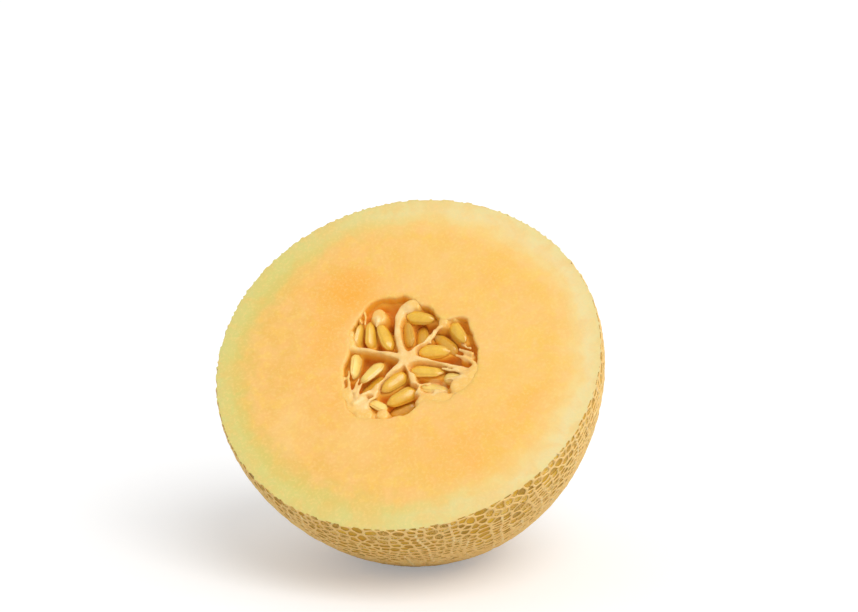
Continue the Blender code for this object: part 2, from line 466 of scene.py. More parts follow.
# %% Cells at random
CELL_SIZE = 2.45 * MM
CELL_SPREAD = 0.6 * MM  # how much the cell size drifts from place to place
SPREAD_BOOST = 1.6  # the drift alone is mild, and this makes the difference easy to see
SCAR_CELL_SIZE = 3.4 * MM
SCAR_CELLS = (9 * MM, 16 * MM)  # the cells change size between these distances from the axis
CELL_TRIES = 46000
CELL_LEAN = 1.5  # radians that a cell's long way may turn
CELL_STRETCH = 0.5  # how much longer than wide the longest cells are


def cell_size(places, radius):
    drift = noise_at(places, 38, 3.1) + 0.5 * noise_at(places, 90, 5.7)
    near_scar = 1 - smooth_step(radius, *SCAR_CELLS)
    return CELL_SIZE + CELL_SPREAD * SPREAD_BOOST * drift + near_scar * (SCAR_CELL_SIZE - CELL_SIZE)


area = np.cumsum(curve_radius * step_length)
tries_reach = np.interp(rng.uniform(0, area[-1], CELL_TRIES), area, curve_map)
tries_turn = rng.uniform(0, math.tau, CELL_TRIES)
tries = np.stack((tries_reach * np.cos(tries_turn), tries_reach * np.sin(tries_turn)), axis=1)
tries_place = from_map(tries, 0)
tries_size = cell_size(tries_place, np.hypot(tries_place[:, 0], tries_place[:, 1]))
# Each cell is longer one way than the other, and the way turns slowly from place to place.
lengthwise = np.stack((-np.cos(tries_turn), -np.sin(tries_turn), np.zeros(CELL_TRIES)), axis=1)
round_about = np.stack((-np.sin(tries_turn), np.cos(tries_turn), np.zeros(CELL_TRIES)), axis=1)
lean_over = CELL_LEAN * noise_at(tries_place, 24, 8.3)[:, None]
long_way = round_about * np.cos(lean_over) + lengthwise * np.sin(lean_over)
long_way[:, 2] = np.sin(lean_over[:, 0])
long_way /= np.linalg.norm(long_way, axis=1)[:, None]
stretch = 1 + CELL_STRETCH * smooth_step(noise_at(tries_place, 30, 1.9), -0.3, 0.5)

taken = np.zeros((len(site_map) + CELL_TRIES, 3))
taken[: len(site_map)] = from_map(np.array(site_map), 0)
count = len(site_map)
for place, size, way, pull, spot in zip(tries_place, tries_size, long_way, stretch, tries):
    away = taken[:count] - place
    far = (away * away).sum(axis=1)
    along = (away @ way) ** 2
    if (far - along * (1 - 1 / pull**2)).min() * pull < size * size:
        continue
    taken[count] = place
    count += 1
    site_map.append(tuple(spot))
    site_filled.append(0)
    site_row.append(0)
sites = np.array(site_map)
print(f"{len(sites)} cells in all")

# %% [markdown]
# ## From cells to a net
# Joining neighbouring cells gives triangles, and the middle of the circle round each triangle is a
# corner where three cells meet. The net's cords run from corner to corner. A cord could be left to
# a bump map, but a real one stands half a millimetre proud and shows along the edge of the fruit.
# So each cell gets rings of vertices: the crest on its outline, a shoulder, the foot of the cord,
# and the middle of the bare skin.

# %% Corners and outlines of the cells
_, _, triangles, *_ = geometry.delaunay_2d_cdt(
    [Vector(site) for site in sites], [], [], 0, 1e-9
)
corners_of = [[] for _ in sites]
triangle_middle = np.zeros((len(triangles), 2))
for index, triangle in enumerate(triangles):
    a, b, c = (sites[i] for i in triangle)
    ab, ac = b - a, c - a
    twice = 2 * (ab[0] * ac[1] - ab[1] * ac[0])
    rise = ab @ ab * ac[1] - ac @ ac * ab[1]
    slide = ac @ ac * ab[0] - ab @ ab * ac[0]
    triangle_middle[index] = a + np.array((rise, slide)) / twice
    for i in triangle:
        corners_of[i].append(index)
edge_count = {}
for triangle in triangles:
    for i, j in zip(triangle, (*triangle[1:], triangle[0])):
        edge_count[frozenset((i, j))] = edge_count.get(frozenset((i, j)), 0) + 1
outermost = {i for pair, times in edge_count.items() if times == 1 for i in pair}
print(f"{len(triangles)} corners, {len(outermost)} cells on the outside that are left out")

# %% Height of the net
CORD_HEIGHT = 0.5 * MM
CORD_WANDER = 0.45  # how much the height changes along a cord
HIGHEST_STRENGTH = 1.2  # a stronger cord than this is wider, but no higher
BARE_RADIUS, NETTED_RADIUS = 9 * MM, 17 * MM  # the net fades out towards the stem scar

spot_list, height_list, cork_list, tone_list = [], [], [], []


def add_vertex(spot, height, cork, tone=0.5):
    spot_list.append(tuple(spot))
    height_list.append(height)
    cork_list.append(cork)
    tone_list.append(tone)
    return len(spot_list) - 1


def add_ring(ring):
    return [add_vertex(*entry) for entry in ring]


def netted_share(spot):
    """1 where the net is whole, 0 on the bare skin round the scar."""
    radius = np.interp(math.hypot(*spot), curve_map, curve_radius)
    ragged = 4.5 * MM * noise.noise(Vector((spot[0], spot[1], 0)) * 14)
    return float(smooth_step(radius + ragged, BARE_RADIUS, NETTED_RADIUS))


def crest(spot, strength):
    """Height, cork and tone of a vertex on top of a cord of this strength."""
    share = netted_share(spot) * min(strength, HIGHEST_STRENGTH)
    wander = 1 + CORD_WANDER * noise.noise(Vector((spot[0], spot[1], 1)) * 34)
    return CORD_HEIGHT * share * wander, min(share * 1.15, 1), strength / 2


print(f"cords stand {CORD_HEIGHT / MM:.1f} mm high")

# %% Vertices along the cords
CORD_STEP = 1.3 * MM  # a vertex about this often along a cord
CORD_STRENGTHS = (0.7, 1.1)  # the weakest and strongest plain cord; 1 is the full height
CORD_BOW = 0.14  # how far a cord bows out, as a share of its length
FAINT_SHARE, FAINT_STRENGTH = 0.10, 0.3  # this many cords healed nearly flat
LONG_STRENGTH = 1.9  # the long cords that closed the cracks

cord_points, corner_points = {}, {}


def corner_vertex(index):
    if index not in corner_points:
        corner_points[index] = add_vertex(triangle_middle[index], *crest(triangle_middle[index], 1))
    return corner_points[index]


def cord_vertices(first, last, pair):
    """The vertices along a cord from corner to corner, shared by the pair of cells beside it."""
    key = (min(first, last), max(first, last))
    if key not in cord_points:
        start, end = triangle_middle[key[0]], triangle_middle[key[1]]
        scale = map_scale(((start + end) / 2)[None])[0]
        length = float(np.hypot(*(end - start))) * scale
        count = max(int(round(length / CORD_STEP)), 1)
        aside = np.array((start[1] - end[1], end[0] - start[0]))
        bow = CORD_BOW * rng.uniform(-1, 1)
        strength = rng.uniform(*CORD_STRENGTHS)
        if rng.random() < FAINT_SHARE:
            strength = FAINT_STRENGTH
        if sum(site_row[i] for i in pair) == 0 and any(site_row[i] for i in pair):
            strength = LONG_STRENGTH
        made = []
        for index in range(1, count):
            share = index / count
            spot = start + (end - start) * share + aside * bow * math.sin(math.pi * share)
            made.append(add_vertex(spot, *crest(spot, strength)))
        cord_points[key] = (made, strength)
    made, strength = cord_points[key]
    return (made if first == key[0] else made[::-1]), strength

# %% Rings of each cell
CORD_HALF_WIDTH = 0.4 * MM
STREAK_HEIGHT = 0.26 * MM
SKIN_PILLOW = 0.07 * MM  # how far the bare skin swells in the middle of a cell
FOOT_SHARES = (0.05, 0.62)  # the least and most of the way to a cell's middle that a cord takes
SHOULDER_SHARE, SHOULDER_HEIGHT = 0.55, 0.72  # how far down a cord's side it is, and how high

face_list = []
for site, around in enumerate(corners_of):
    if site in outermost or len(around) < 3:
        continue
    middle = sites[site]
    order = sorted(around, key=lambda i: math.atan2(*(triangle_middle[i] - middle)[::-1]))
    outline, strengths, reaches = [], [], []
    for first, last in zip(order, order[1:] + order[:1]):
        start, end = triangle_middle[first], triangle_middle[last]
        edge = end - start
        size = float(np.hypot(*edge)) or 1e-9
        reach = abs(edge[0] * (middle - start)[1] - edge[1] * (middle - start)[0]) / size
        pair = frozenset(set(triangles[first]) & set(triangles[last]))
        between, strength = cord_vertices(first, last, pair)
        outline += [corner_vertex(first), *between]
        strengths += [1.0] + [strength] * len(between)
        reaches += [reach] * (1 + len(between))
    spots = np.array([spot_list[i] for i in outline])
    reaches = np.minimum(reaches, np.roll(reaches, 1)) * map_scale(middle[None])[0]
    if site_filled[site]:
        netted = netted_share(middle)
        tone = rng.uniform(0.2, 0.8)
        filled_height = STREAK_HEIGHT * netted * rng.uniform(0.6, 1.5)
        inner = spots + (middle - spots) * 0.5
        ring = add_ring([(spot, filled_height, netted, tone) for spot in inner])
        centre = add_vertex(middle, filled_height * 0.7, netted, tone)
        rings = [outline, ring]
    else:
        width = CORD_HALF_WIDTH * (1 + 0.35 * noise.noise(Vector((*middle, 2)) * 22))
        width = width * (0.4 + 0.6 * np.array(strengths))
        foot_share = np.clip(width / np.maximum(reaches, 1e-6), *FOOT_SHARES)
        foot = spots + (middle - spots) * foot_share[:, None]
        foot = (np.roll(foot, 1, axis=0) + 3 * foot + np.roll(foot, -1, axis=0)) / 5
        shoulder = spots + (foot - spots) * SHOULDER_SHARE
        tops = [(height_list[i], cork_list[i], tone_list[i]) for i in outline]
        ring = add_ring([
            (spot, height * SHOULDER_HEIGHT, cork * 0.95, tone)
            for spot, (height, cork, tone) in zip(shoulder, tops)
        ])
        tone = rng.uniform(0, 1)
        low = add_ring([(spot, 0.0, 0.0, tone) for spot in foot])
        centre = add_vertex(middle, SKIN_PILLOW, 0.0, tone)
        rings = [outline, ring, low]
    for outer, inner in zip(rings, rings[1:]):
        for a, b, c, d in zip(outer, outer[1:] + outer[:1], inner[1:] + inner[:1], inner):
            face_list.append((d, c, b, a))
    last_ring = rings[-1]
    face_list += [(centre, b, a) for a, b in zip(last_ring, last_ring[1:] + last_ring[:1])]
print(f"net: {len(spot_list)} vertices, {len(face_list)} faces before trimming")

# %% [markdown]
# ## Cutting the rind
# The knife trims the net at the cut face, cords and all, so the rim gets its small bumps for
# nothing. The row of vertices left along the cut is kept: the flesh will start from the same row,
# and no gap can open between the two.

# %% Trimmed rind mesh
rind_points = from_map(np.array(spot_list), np.array(height_list))
net_mesh = mesh_of("netted_rind", rind_points, face_list)
store(net_mesh, "cork", cork_list)
store(net_mesh, "tone", tone_list)
bm = bmesh.new()
bm.from_mesh(net_mesh)
whole = bm.verts[:] + bm.edges[:] + bm.faces[:]
bmesh.ops.bisect_plane(
    bm, geom=whole, dist=1e-7, plane_co=(0, 0, 0), plane_no=(0, 0, 1), clear_outer=True
)
bmesh.ops.remove_doubles(bm, verts=bm.verts, dist=0.02 * MM)
loose = [vertex for vertex in bm.verts if not vertex.link_faces]
bmesh.ops.delete(bm, geom=loose, context="VERTS")
bmesh.ops.triangulate(bm, faces=bm.faces)
rim = [vertex.co.copy() for vertex in bm.verts if vertex.is_boundary]
rim.sort(key=lambda point: math.atan2(point.y, point.x))
bm.normal_update()
outwards = sum(1 for face in bm.faces if face.normal.dot(face.calc_center_median()) > 0)
print(f"rind: {len(bm.faces)} triangles, {outwards} of them facing out, {len(rim)} rim vertices")
bm.to_mesh(net_mesh)
bm.free()
rim_points = np.array([tuple(point) for point in rim])

# %% Rest the rind on the floor
net_mesh.transform(to_room)
rested = points_of(net_mesh)
pressed = int((rested[:, 2] < 0).sum())
rested[:, 2] = np.maximum(rested[:, 2], 0)
net_mesh.vertices.foreach_set("co", rested.astype(np.float32).ravel())
print(f"{pressed} vertices pressed flat on the resting spot")

# %% [markdown]
# ## The rind's finish
# Bare skin is waxy gold, with greener and more orange patches and painted shade along cord feet.
# The cords are dry, pale cork. The mesh carries two numbers for each vertex. One is its cork, 1 on
# a cord and 0 on the skin, so the colours change exactly where the shape does. The other is its
# tone, which differs from cell to cell and is palest on the long cords. Only the pores of the cork
# and the freckles and hair cracks of the skin, all finer than the mesh, are left to noise.

# %% Rind material
CORD_FOOT_SHADE = srgb(140, 98, 22)  # painted shade along the foot of a cord
SKIN_OLIVE = srgb(174, 132, 22)
SKIN_GOLD = srgb(214, 162, 26)
SKIN_BRIGHT = srgb(240, 188, 38)
SKIN_OCHRE = srgb(190, 142, 32)
SKIN_ORANGE = srgb(238, 170, 50)
CORK_CREAM = srgb(255, 230, 172)
CORK_TAN = srgb(248, 206, 128)
CORK_BUFF = srgb(222, 172, 94)

rind_material, tree, shader = new_material(
    "netted_rind",
    Specular_IOR_Level=0.35,
    Subsurface_Weight=0.08,
    Subsurface_Scale=0.002,
)
where = place_on_piece(tree)
cork = attribute(tree, "cork")
ragged = calculate(tree, "SUBTRACT", noise_value(tree, where, 2600, 2, 0.6), 0.5)
ragged = calculate(tree, "MULTIPLY", ragged, 0.6)
cork_mask = smooth_range(tree, calculate(tree, "ADD", cork, ragged), 0.25, 0.65)
# A second, much finer net of hair cracks crosses the bare skin here and there.
crackle = node(
    tree,
    "ShaderNodeTexVoronoi",
    {"Vector": where, "Scale": 820.0},
    feature="DISTANCE_TO_EDGE",
)
hairs = smooth_range(tree, crackle.outputs["Distance"], 0.03, 0.10, 0.75, 0)
hairy = smooth_range(tree, noise_value(tree, where, 75, 2, 0.5), 0.46, 0.56)
hairs = calculate(tree, "MULTIPLY", hairs, hairy)
cork_mask = calculate(tree, "MAXIMUM", cork_mask, hairs)
tone = attribute(tree, "tone")
bare = colour_stops(tree, tone, ((0.0, SKIN_OLIVE), (0.5, SKIN_GOLD), (1.0, SKIN_BRIGHT)))
# Painted shade: the bare skin darkens along the foot of each cord.
bare = mix_colours(tree, smooth_range(tree, cork, 0.0, 0.15, 0, 0.75), bare, CORD_FOOT_SHADE)
skin = mottled(tree, where, bare, (SKIN_OCHRE, 45.0, 0.6), (SKIN_ORANGE, 520.0, 0.4))
corks = mix_colours(tree, smooth_range(tree, tone, 0.4, 0.8), CORK_TAN, CORK_CREAM)
corks = mottled(tree, where, corks, (CORK_TAN, 160.0, 0.5), (CORK_BUFF, 1500.0, 0.3))
pores = grain_height(tree, where, 1900.0, 700.0, 0.6)
pores = calculate(tree, "MULTIPLY", pores, smooth_range(tree, cork_mask, 0, 1, 0.25, 1))
pores = calculate(tree, "ADD", pores, calculate(tree, "MULTIPLY", hairs, 0.8))
feed(
    tree,
    shader,
    Base_Color=mix_colours(tree, cork_mask, skin, corks),
    Roughness=smooth_range(tree, cork_mask, 0, 1, 0.42, 0.8),
    Normal=bump(tree, pores, 0.5, 0.25 * MM),
)
new_piece("netted_rind", net_mesh, rind_material, "netted_rind", "melon_half")
print(f"rind finished with {len(tree.nodes)} nodes")

# %% [markdown]
# ## The cavity
# Six chambers of seeds press outwards between the walls of the star, so the cavity's outline
# bulges six times. It is written as a few reaches round the face with a smooth curve through them.
# Below the cut the cavity narrows to a blunt bottom.

# %% Cavity outline
CAVITY_RADIUS = 23.6 * MM
CAVITY_DEPTH = 42 * MM
CAVITY_FULLNESS = 2.6
CAVITY_OUTLINE = (
    (-182, 0.86),
    (-155, 0.94),
    (-122, 1.15),
    (-104, 1.05),
    (-84, 0.95),
    (-63, 0.76),
    (-42, 0.95),
    (-16, 1.04),
    (8, 1.01),
    (28, 0.99),
    (43, 1.02),
    (59, 0.76),
    (83, 0.89),
    (104, 1.06),
    (125, 1.12),
    (150, 0.99),
)


def cavity_reach(turns):
    """The cavity's radius at the cut in these directions, given in radians."""
    stops = sorted((math.radians(angle) % math.tau, share) for angle, share in CAVITY_OUTLINE)
    stops = [(stops[-1][0] - math.tau, stops[-1][1]), *stops]
    stops.append((stops[1][0] + math.tau, stops[1][1]))
    places = np.array([place for place, _ in stops])
    shares = np.array([share for _, share in stops])
    turns = np.mod(turns, math.tau)
    after = np.clip(np.searchsorted(places, turns), 1, len(places) - 1)
    part = (turns - places[after - 1]) / (places[after] - places[after - 1])
    ease = (1 - np.cos(math.pi * part)) / 2
    return CAVITY_RADIUS * (shares[after - 1] + (shares[after] - shares[after - 1]) * ease)


def cavity_narrowing(depth):
    return np.sqrt(np.maximum(1 - np.clip(depth / CAVITY_DEPTH, 0, 1) ** CAVITY_FULLNESS, 0))


check_turns = np.linspace(0, math.tau, 360)
print(f"cavity: {cavity_reach(check_turns).min() / MM:.1f} to "
      f"{cavity_reach(check_turns).max() / MM:.1f} mm from the middle")

# %% [markdown]
# ## The cut flesh
# One sheet: the flat cut from the rim to the cavity, a soft lip, and the wall of the cavity down to
# its bottom. A flat disc with a hole would look like card. A knife through ripe flesh leaves it
# very slightly wavy, the lip is rounded and torn, and the wall under it is lumpy where the pulp was
# attached.

# %% Rings of the cut flesh
FLESH_AROUND = 480
FLESH_RINGS = 50
WALL_RINGS = 30
LIP_ROUND = 0.9 * MM
RIM_MARGIN = 0.8 * MM
LIP_STEPS = 4
LIP_TEARS, LIP_NICKS = 0.45, 0.22  # mm that long and short tears move the lip
KNIFE_WAVE = 0.05 * MM
WALL_LUMPS = 0.5 * MM

turns = np.linspace(-math.pi, math.pi, FLESH_AROUND, endpoint=False)
compass = np.stack((np.cos(turns), np.sin(turns), np.zeros(FLESH_AROUND)), axis=1)
torn = noise_at(compass, 7, 2.3) * LIP_TEARS + noise_at(compass, 22, 4.1) * LIP_NICKS
lip_reach = cavity_reach(turns) + torn * MM

rings = []
for ring in range(FLESH_RINGS):
    share = 1 - ring / (FLESH_RINGS - 1)
    start = lip_reach + LIP_ROUND
    radius = start + (FACE_RADIUS - RIM_MARGIN - start) * share
    points = compass * radius[:, None]
    wave = noise_at(points, 60, 6.2) * KNIFE_WAVE
    points[:, 2] = wave * smooth_step(share, 0, 0.1) * smooth_step(1 - share, 0, 0.06)
    rings.append(points)
for ring in range(1, LIP_STEPS + 1):
    bend = math.pi / 2 * ring / LIP_STEPS
    radius = lip_reach + LIP_ROUND * (1 - math.sin(bend))
    points = compass * radius[:, None]
    points[:, 2] = -LIP_ROUND * (1 - math.cos(bend))
    rings.append(points)
for ring in range(1, WALL_RINGS + 1):
    share = ring / WALL_RINGS
    depth = LIP_ROUND + (CAVITY_DEPTH - LIP_ROUND) * math.sin(share * math.pi / 2)
    radius = lip_reach * cavity_narrowing(np.array(depth))
    points = compass * np.maximum(radius, 0.1 * MM)[:, None]
    points[:, 2] = -depth
    lumps = noise_at(points, 300, 1.3) * 0.6 + noise_at(points, 130, 7.9)
    points[:, :2] *= 1 + (lumps * WALL_LUMPS * smooth_step(share, 0, 0.1))[:, None] / CAVITY_RADIUS
    rings.append(points)

flesh_points = np.concatenate([rim_points, *rings])
print(f"flesh: {len(flesh_points)} vertices")

# %% Faces of the cut flesh
rim_count = len(rim_points)


def ring_vertex(ring, index):
    return rim_count + ring * FLESH_AROUND + index % FLESH_AROUND


flesh_faces = ring_faces(len(rings), FLESH_AROUND, rim_count)
flesh_faces.append(tuple(ring_vertex(len(rings) - 1, i) for i in range(FLESH_AROUND)))

# The rim's vertices are unevenly spaced, so triangles are zipped between them and the first ring.
rim_turns = np.arctan2(rim_points[:, 1], rim_points[:, 0])
rim_turns = np.append(rim_turns, rim_turns[0] + math.tau)
ring_turns = np.append(turns, turns[0] + math.tau)
i = j = 0
while i < rim_count or j < FLESH_AROUND:
    step_rim = j == FLESH_AROUND or (i < rim_count and rim_turns[i + 1] <= ring_turns[j + 1])
    if step_rim:
        flesh_faces.append((i % rim_count, (i + 1) % rim_count, ring_vertex(0, j)))
        i += 1
    else:
        flesh_faces.append((i % rim_count, ring_vertex(0, j + 1), ring_vertex(0, j)))
        j += 1

flesh_mesh = mesh_of("cut_flesh", flesh_points, flesh_faces)
print(f"flesh: {len(flesh_faces)} faces")

# %% [markdown]
# ## How ripe the flesh is
# No formula says where a melon ripened first. The side that lay towards the sun is further on, and
# the rest is a handful of listed clouds. The mesh keeps both, with each vertex's distance
# from the rim and the cut, so the finish can follow them.

# %% Ripeness and distances
SUNNY_TURN = math.radians(20)  # the side that ripened towards the sun
# Clouds of riper or paler flesh: across, up, radius, all in mm, and how much riper.
CLOUDS = (
    (-24, 25, 11, 1.0),
    (-30, 6, 9, 0.5),
    (-21, -20, 8, 0.5),
    (26, -34, 15, 0.5),
    (44, -14, 9, 0.4),
    (24, 34, 10, 0.25),
    (-32, -28, 12, -0.6),
    (4, 36, 12, -0.5),
    (-8, -32, 9, -0.5),
    (36, 10, 10, -0.3),
)

flesh_turns = np.arctan2(flesh_points[:, 1], flesh_points[:, 0])
flesh_radius = np.hypot(flesh_points[:, 0], flesh_points[:, 1])
store(flesh_mesh, "from_rim", (FACE_RADIUS - flesh_radius) / MM)
store(flesh_mesh, "below_cut", -flesh_points[:, 2] / MM)
green_way = np.array((math.cos(SUNNY_TURN), math.sin(SUNNY_TURN)))
store(flesh_mesh, "greenness", -(flesh_points[:, :2] @ green_way) / FACE_RADIUS)
warmth = np.zeros(len(flesh_points))
for x, y, radius, amount in CLOUDS:
    away = np.hypot(flesh_points[:, 0] / MM - x, flesh_points[:, 1] / MM - y)
    warmth += amount * np.exp(-((away / radius) ** 2))
store(flesh_mesh, "warmth", warmth)
spokes = (np.cos(flesh_turns), np.sin(flesh_turns), flesh_radius / FACE_RADIUS)
store(flesh_mesh, "spokes", np.stack(spokes, axis=1), "FLOAT_VECTOR")
flesh_mesh.transform(to_room)
print(f"ripeness from {warmth.min():.2f} to {warmth.max():.2f}")

# %% [markdown]
# ## The flesh's finish
# The colour goes from a pale green ring under the rind through cream to soft orange round the
# seeds, and the change is cloudy, never a clean circle. Juice in the flesh lets light in a few
# millimetres, so a little light is scattered under the surface. Faint fibres run outwards like
# spokes, and the cut cells make a fine wet grain.

# %% Flesh material
SUNNY_SIDE = (
    (0.0, srgb(238, 218, 150)),
    (0.10, srgb(240, 219, 156)),
    (0.18, srgb(244, 215, 140)),
    (0.28, srgb(249, 206, 118)),
    (0.40, srgb(249, 200, 98)),
    (1.0, srgb(249, 197, 99)),
)
GREEN_SIDE = (
    (0.0, srgb(218, 206, 122)),
    (0.10, srgb(218, 206, 118)),
    (0.18, srgb(220, 200, 106)),
    (0.28, srgb(230, 193, 98)),
    (0.40, srgb(240, 188, 92)),
    (1.0, srgb(248, 187, 92)),
)
FLESH_DEEP = srgb(250, 176, 60)
FLESH_PALE = srgb(250, 206, 128)
FLESH_PEACH = srgb(252, 198, 128)
FLESH_STRAW = srgb(250, 208, 92)
FLESH_APRICOT = srgb(246, 186, 92)
FLESH_GLINT = srgb(254, 218, 140)
FIBRE_PALE = srgb(255, 226, 160)
WALL_ORANGE = srgb(255, 192, 64)
# Painted shade for the cavity wall deep down.
WALL_SHADE_DARK = srgb(236, 146, 30)
RING_WIDTH = 40.0  # mm in from the rim, over which the colour changes
RING_DRIFT = 9.0  # mm that the clouds push the colours in or out
SPOKE_SCALE = (26.0, 26.0, 3.5)  # fine across a spoke and long outwards

flesh_material, tree, shader = new_material(
    "cut_flesh",
    Subsurface_Weight=0.25,
    Subsurface_Radius=(1.0, 0.5, 0.2),
    Subsurface_Scale=0.004,
    Specular_IOR_Level=0.4,
    Coat_Roughness=0.25,
    Coat_Weight=0.12,
)
where = place_on_piece(tree)
cloud = noise_value(tree, where, 55, 4, 0.55, 0.3)
from_rim = attribute(tree, "from_rim")
cloud_from_middle = calculate(tree, "SUBTRACT", cloud, 0.5)
drift = calculate(tree, "MULTIPLY", cloud_from_middle, RING_DRIFT)
drifted = calculate(tree, "ADD", from_rim, drift)
share = calculate(tree, "DIVIDE", drifted, RING_WIDTH, clamp=True)
sunny = colour_stops(tree, share, SUNNY_SIDE)
green = colour_stops(tree, share, GREEN_SIDE)
side = smooth_range(tree, attribute(tree, "greenness"), -0.7, 0.7)
flesh = mix_colours(tree, side, sunny, green)
clouded = mottled(tree, where, flesh, (FLESH_PEACH, 160.0, 0.5), (FLESH_STRAW, 260.0, 0.4))
flesh = mix_colours(tree, smooth_range(tree, drifted, 6, 13), flesh, clouded)
warmth = calculate(tree, "ADD", attribute(tree, "warmth"), cloud_from_middle)
warmth = calculate(tree, "MULTIPLY", warmth, smooth_range(tree, drifted, 7, 15))
flesh = mix_colours(tree, smooth_range(tree, warmth, 0, 1), flesh, FLESH_DEEP)
flesh = mix_colours(tree, smooth_range(tree, warmth, 0, -1, 0, 0.8), flesh, FLESH_PALE)
flesh = mottled(tree, where, flesh, (FLESH_APRICOT, 130.0, 0.32), (FLESH_GLINT, 1000.0, 0.25))
spoke = attribute(tree, "spokes", "Vector")
stretched = node(tree, "ShaderNodeMapping", {"Vector": spoke, "Scale": SPOKE_SCALE})
fibre = noise_value(tree, stretched.outputs["Vector"], 1.0, 3, 0.6)
flesh = mix_colours(tree, smooth_range(tree, fibre, 0.5, 0.75, 0, 0.07), flesh, FIBRE_PALE)
below = attribute(tree, "below_cut")
wall = smooth_range(tree, below, 0.5, 2.2)
# Painted shade: the cavity wall darkens from orange deeper down.
wall_colour = mix_colours(tree, smooth_range(tree, below, 2.5, 9.0), WALL_ORANGE, WALL_SHADE_DARK)
juice = grain_height(tree, where, 1100.0, 260.0, 0.5)
juice = calculate(tree, "ADD", juice, calculate(tree, "MULTIPLY", fibre, 0.2))
feed(
    tree,
    shader,
    Base_Color=mix_colours(tree, wall, flesh, wall_colour),
    Roughness=smooth_range(tree, wall, 0, 1, 0.5, 0.3),
    Normal=bump(tree, juice, 0.35, 0.3 * MM),
)

new_piece("cut_flesh", flesh_mesh, flesh_material, "melon_half", "melon_half")
print(f"flesh finished with {len(tree.nodes)} nodes")

# %% [markdown]
# ## Where the seeds lie
# The model holds each seed as a plain teardrop. Its middle and its three directions are read back
# from it: the longest spread of its corners is its length, the shortest its thickness, and the end
# where the corners lie closer together is its tip.

# %% Seed places
def seed_place(name):
    """(turned, middle, sizes) of a seed in the fruit's frame; turned has its axes as columns."""
    mesh = frame["nodes"][name].data
    corners = np.array([to_fruit @ vertex.co for vertex in mesh.vertices])
    corners = np.unique(np.round(corners, 7), axis=0)
    _, spread = np.linalg.eigh(np.cov((corners - corners.mean(axis=0)).T))
    flat, across, along = spread.T
    shares = (corners - corners.mean(axis=0)) @ along
    widths = np.abs((corners - corners.mean(axis=0)) @ across)
    if widths[shares > 0].mean() > widths[shares < 0].mean():
        along = -along
    if flat[2] < 0:
        flat = -flat
    turned = np.stack((along, np.cross(flat, along), flat), axis=1)
    low, high = (corners @ turned).min(axis=0), (corners @ turned).max(axis=0)
    return turned, turned @ ((low + high) / 2), high - low


seed_names = sorted(name for name in frame["nodes"] if name[-2:].isdigit())
seed_places = {name: seed_place(name) for name in seed_names}
mean_size = np.mean([sizes for _, _, sizes in seed_places.values()], axis=0)
print(f"{len(seed_names)} seeds, on average {np.round(mean_size / MM, 1)} mm")

# %% [markdown]
# ## The star and its chambers
# Six thin walls meet in a hub and reach the cut, and the chambers between them sink out of sight.
# The walls are soft, so none is straight and none is even: each is a listed line with its own
# widths. Under each seed the pulp rises into a bed, and everywhere else it drops into dark gaps.

# %% Star of walls
HUB_RADIUS = 2.5 * MM
# Each wall: points across and up the face, and half the wall's thickness there, all in mm.
STAR_WALLS = (
    ((0, 0, 1.4), (-2.6, 3.7, 1.0), (-4.6, 8.4, 0.8), (-5.5, 11.8, 0.85), (-5.6, 16.0, 1.1),
     (-4.2, 19.4, 1.9), (-2.4, 21.2, 2.2)),
    ((0, 0, 1.4), (3.1, 4.6, 0.65), (5.4, 7.0, 0.4), (6.8, 10.0, 0.4), (8.6, 12.8, 0.6)),
    ((0, 0, 1.4), (4.4, -0.2, 0.7), (11.2, -1.0, 0.4), (18.1, -2.4, 0.6), (23.6, -3.4, 0.9)),
    ((0, 0, 1.4), (2.0, -4.5, 0.8), (3.8, -8.9, 0.8), (5.8, -13.0, 1.2), (7.6, -17.6, 1.6)),
    ((0, 0, 1.4), (-1.9, -2.8, 0.9), (-6.0, -8.9, 0.9), (-8.6, -12.5, 1.2),
     (-10.9, -17.2, 1.8), (-13.0, -21.6, 2.4)),
    ((0, 0, 1.4), (-3.5, 0.8, 0.65), (-10.7, 2.1, 0.4), (-16.0, 2.9, 0.6), (-20.0, 3.2, 0.9)),
)
# Webs where the pulp comes up to the cut and joins the flesh: across, up, radius, depth, in mm.
WEBS = (
    (-21.0, 4.4, 2.6, 0.15),
    (-21.4, 8.6, 2.0, 0.5),
    (-20.4, 13.4, 2.4, 0.3),
    (-1.4, 21.4, 2.4, 0.15),
    (9.6, 14.6, 1.6, 0.5),
    (11.2, 17.2, 3.2, 0.12),
    (20.6, 2.2, 2.2, 1.8),
    (24.0, -3.2, 2.4, 0.15),
    (20.6, -9.6, 4.4, 0.12),
    (14.6, -15.6, 3.6, 0.12),
    (12.4, -12.4, 1.6, 1.0),
    (9.0, -16.4, 3.0, 0.12),
    (8.6, -20.0, 2.2, 0.12),
    (-4.6, -22.4, 2.4, 0.12),
    (-13.6, -18.8, 4.2, 0.4),
    (-11.0, -23.0, 3.4, 0.12),
    (-18.4, -15.6, 2.8, 0.12),
    (-21.0, -9.4, 2.0, 0.5),
)
# Lobes of pulp that swell over the ends of seeds: across, up, radius, depth, in mm.
LOBES = (
    (-12.5, 15.7, 3.6, 0.8),
    (-12.8, 17.2, 3.2, 0.9),
)


def line_samples(stops, count=36):
    """Points spaced along a line of stops, with the last number of each stop eased between."""
    stops = np.array(stops, float) * MM
    places = np.linspace(0, len(stops) - 1, count)
    columns = [np.interp(places, range(len(stops)), column) for column in stops.T]
    return np.stack(columns, axis=1)


wall_samples = np.concatenate([line_samples(wall) for wall in STAR_WALLS])


def off_walls(plan):
    """How far each plan point lies outside the nearest wall of the star, in metres."""
    found = np.hypot(plan[:, 0], plan[:, 1]) - HUB_RADIUS
    for x, y, half_width in wall_samples:
        found = np.minimum(found, np.hypot(plan[:, 0] - x, plan[:, 1] - y) - half_width)
    return found


print(f"{len(STAR_WALLS)} walls, {len(WEBS)} webs and {len(LOBES)} lobes")

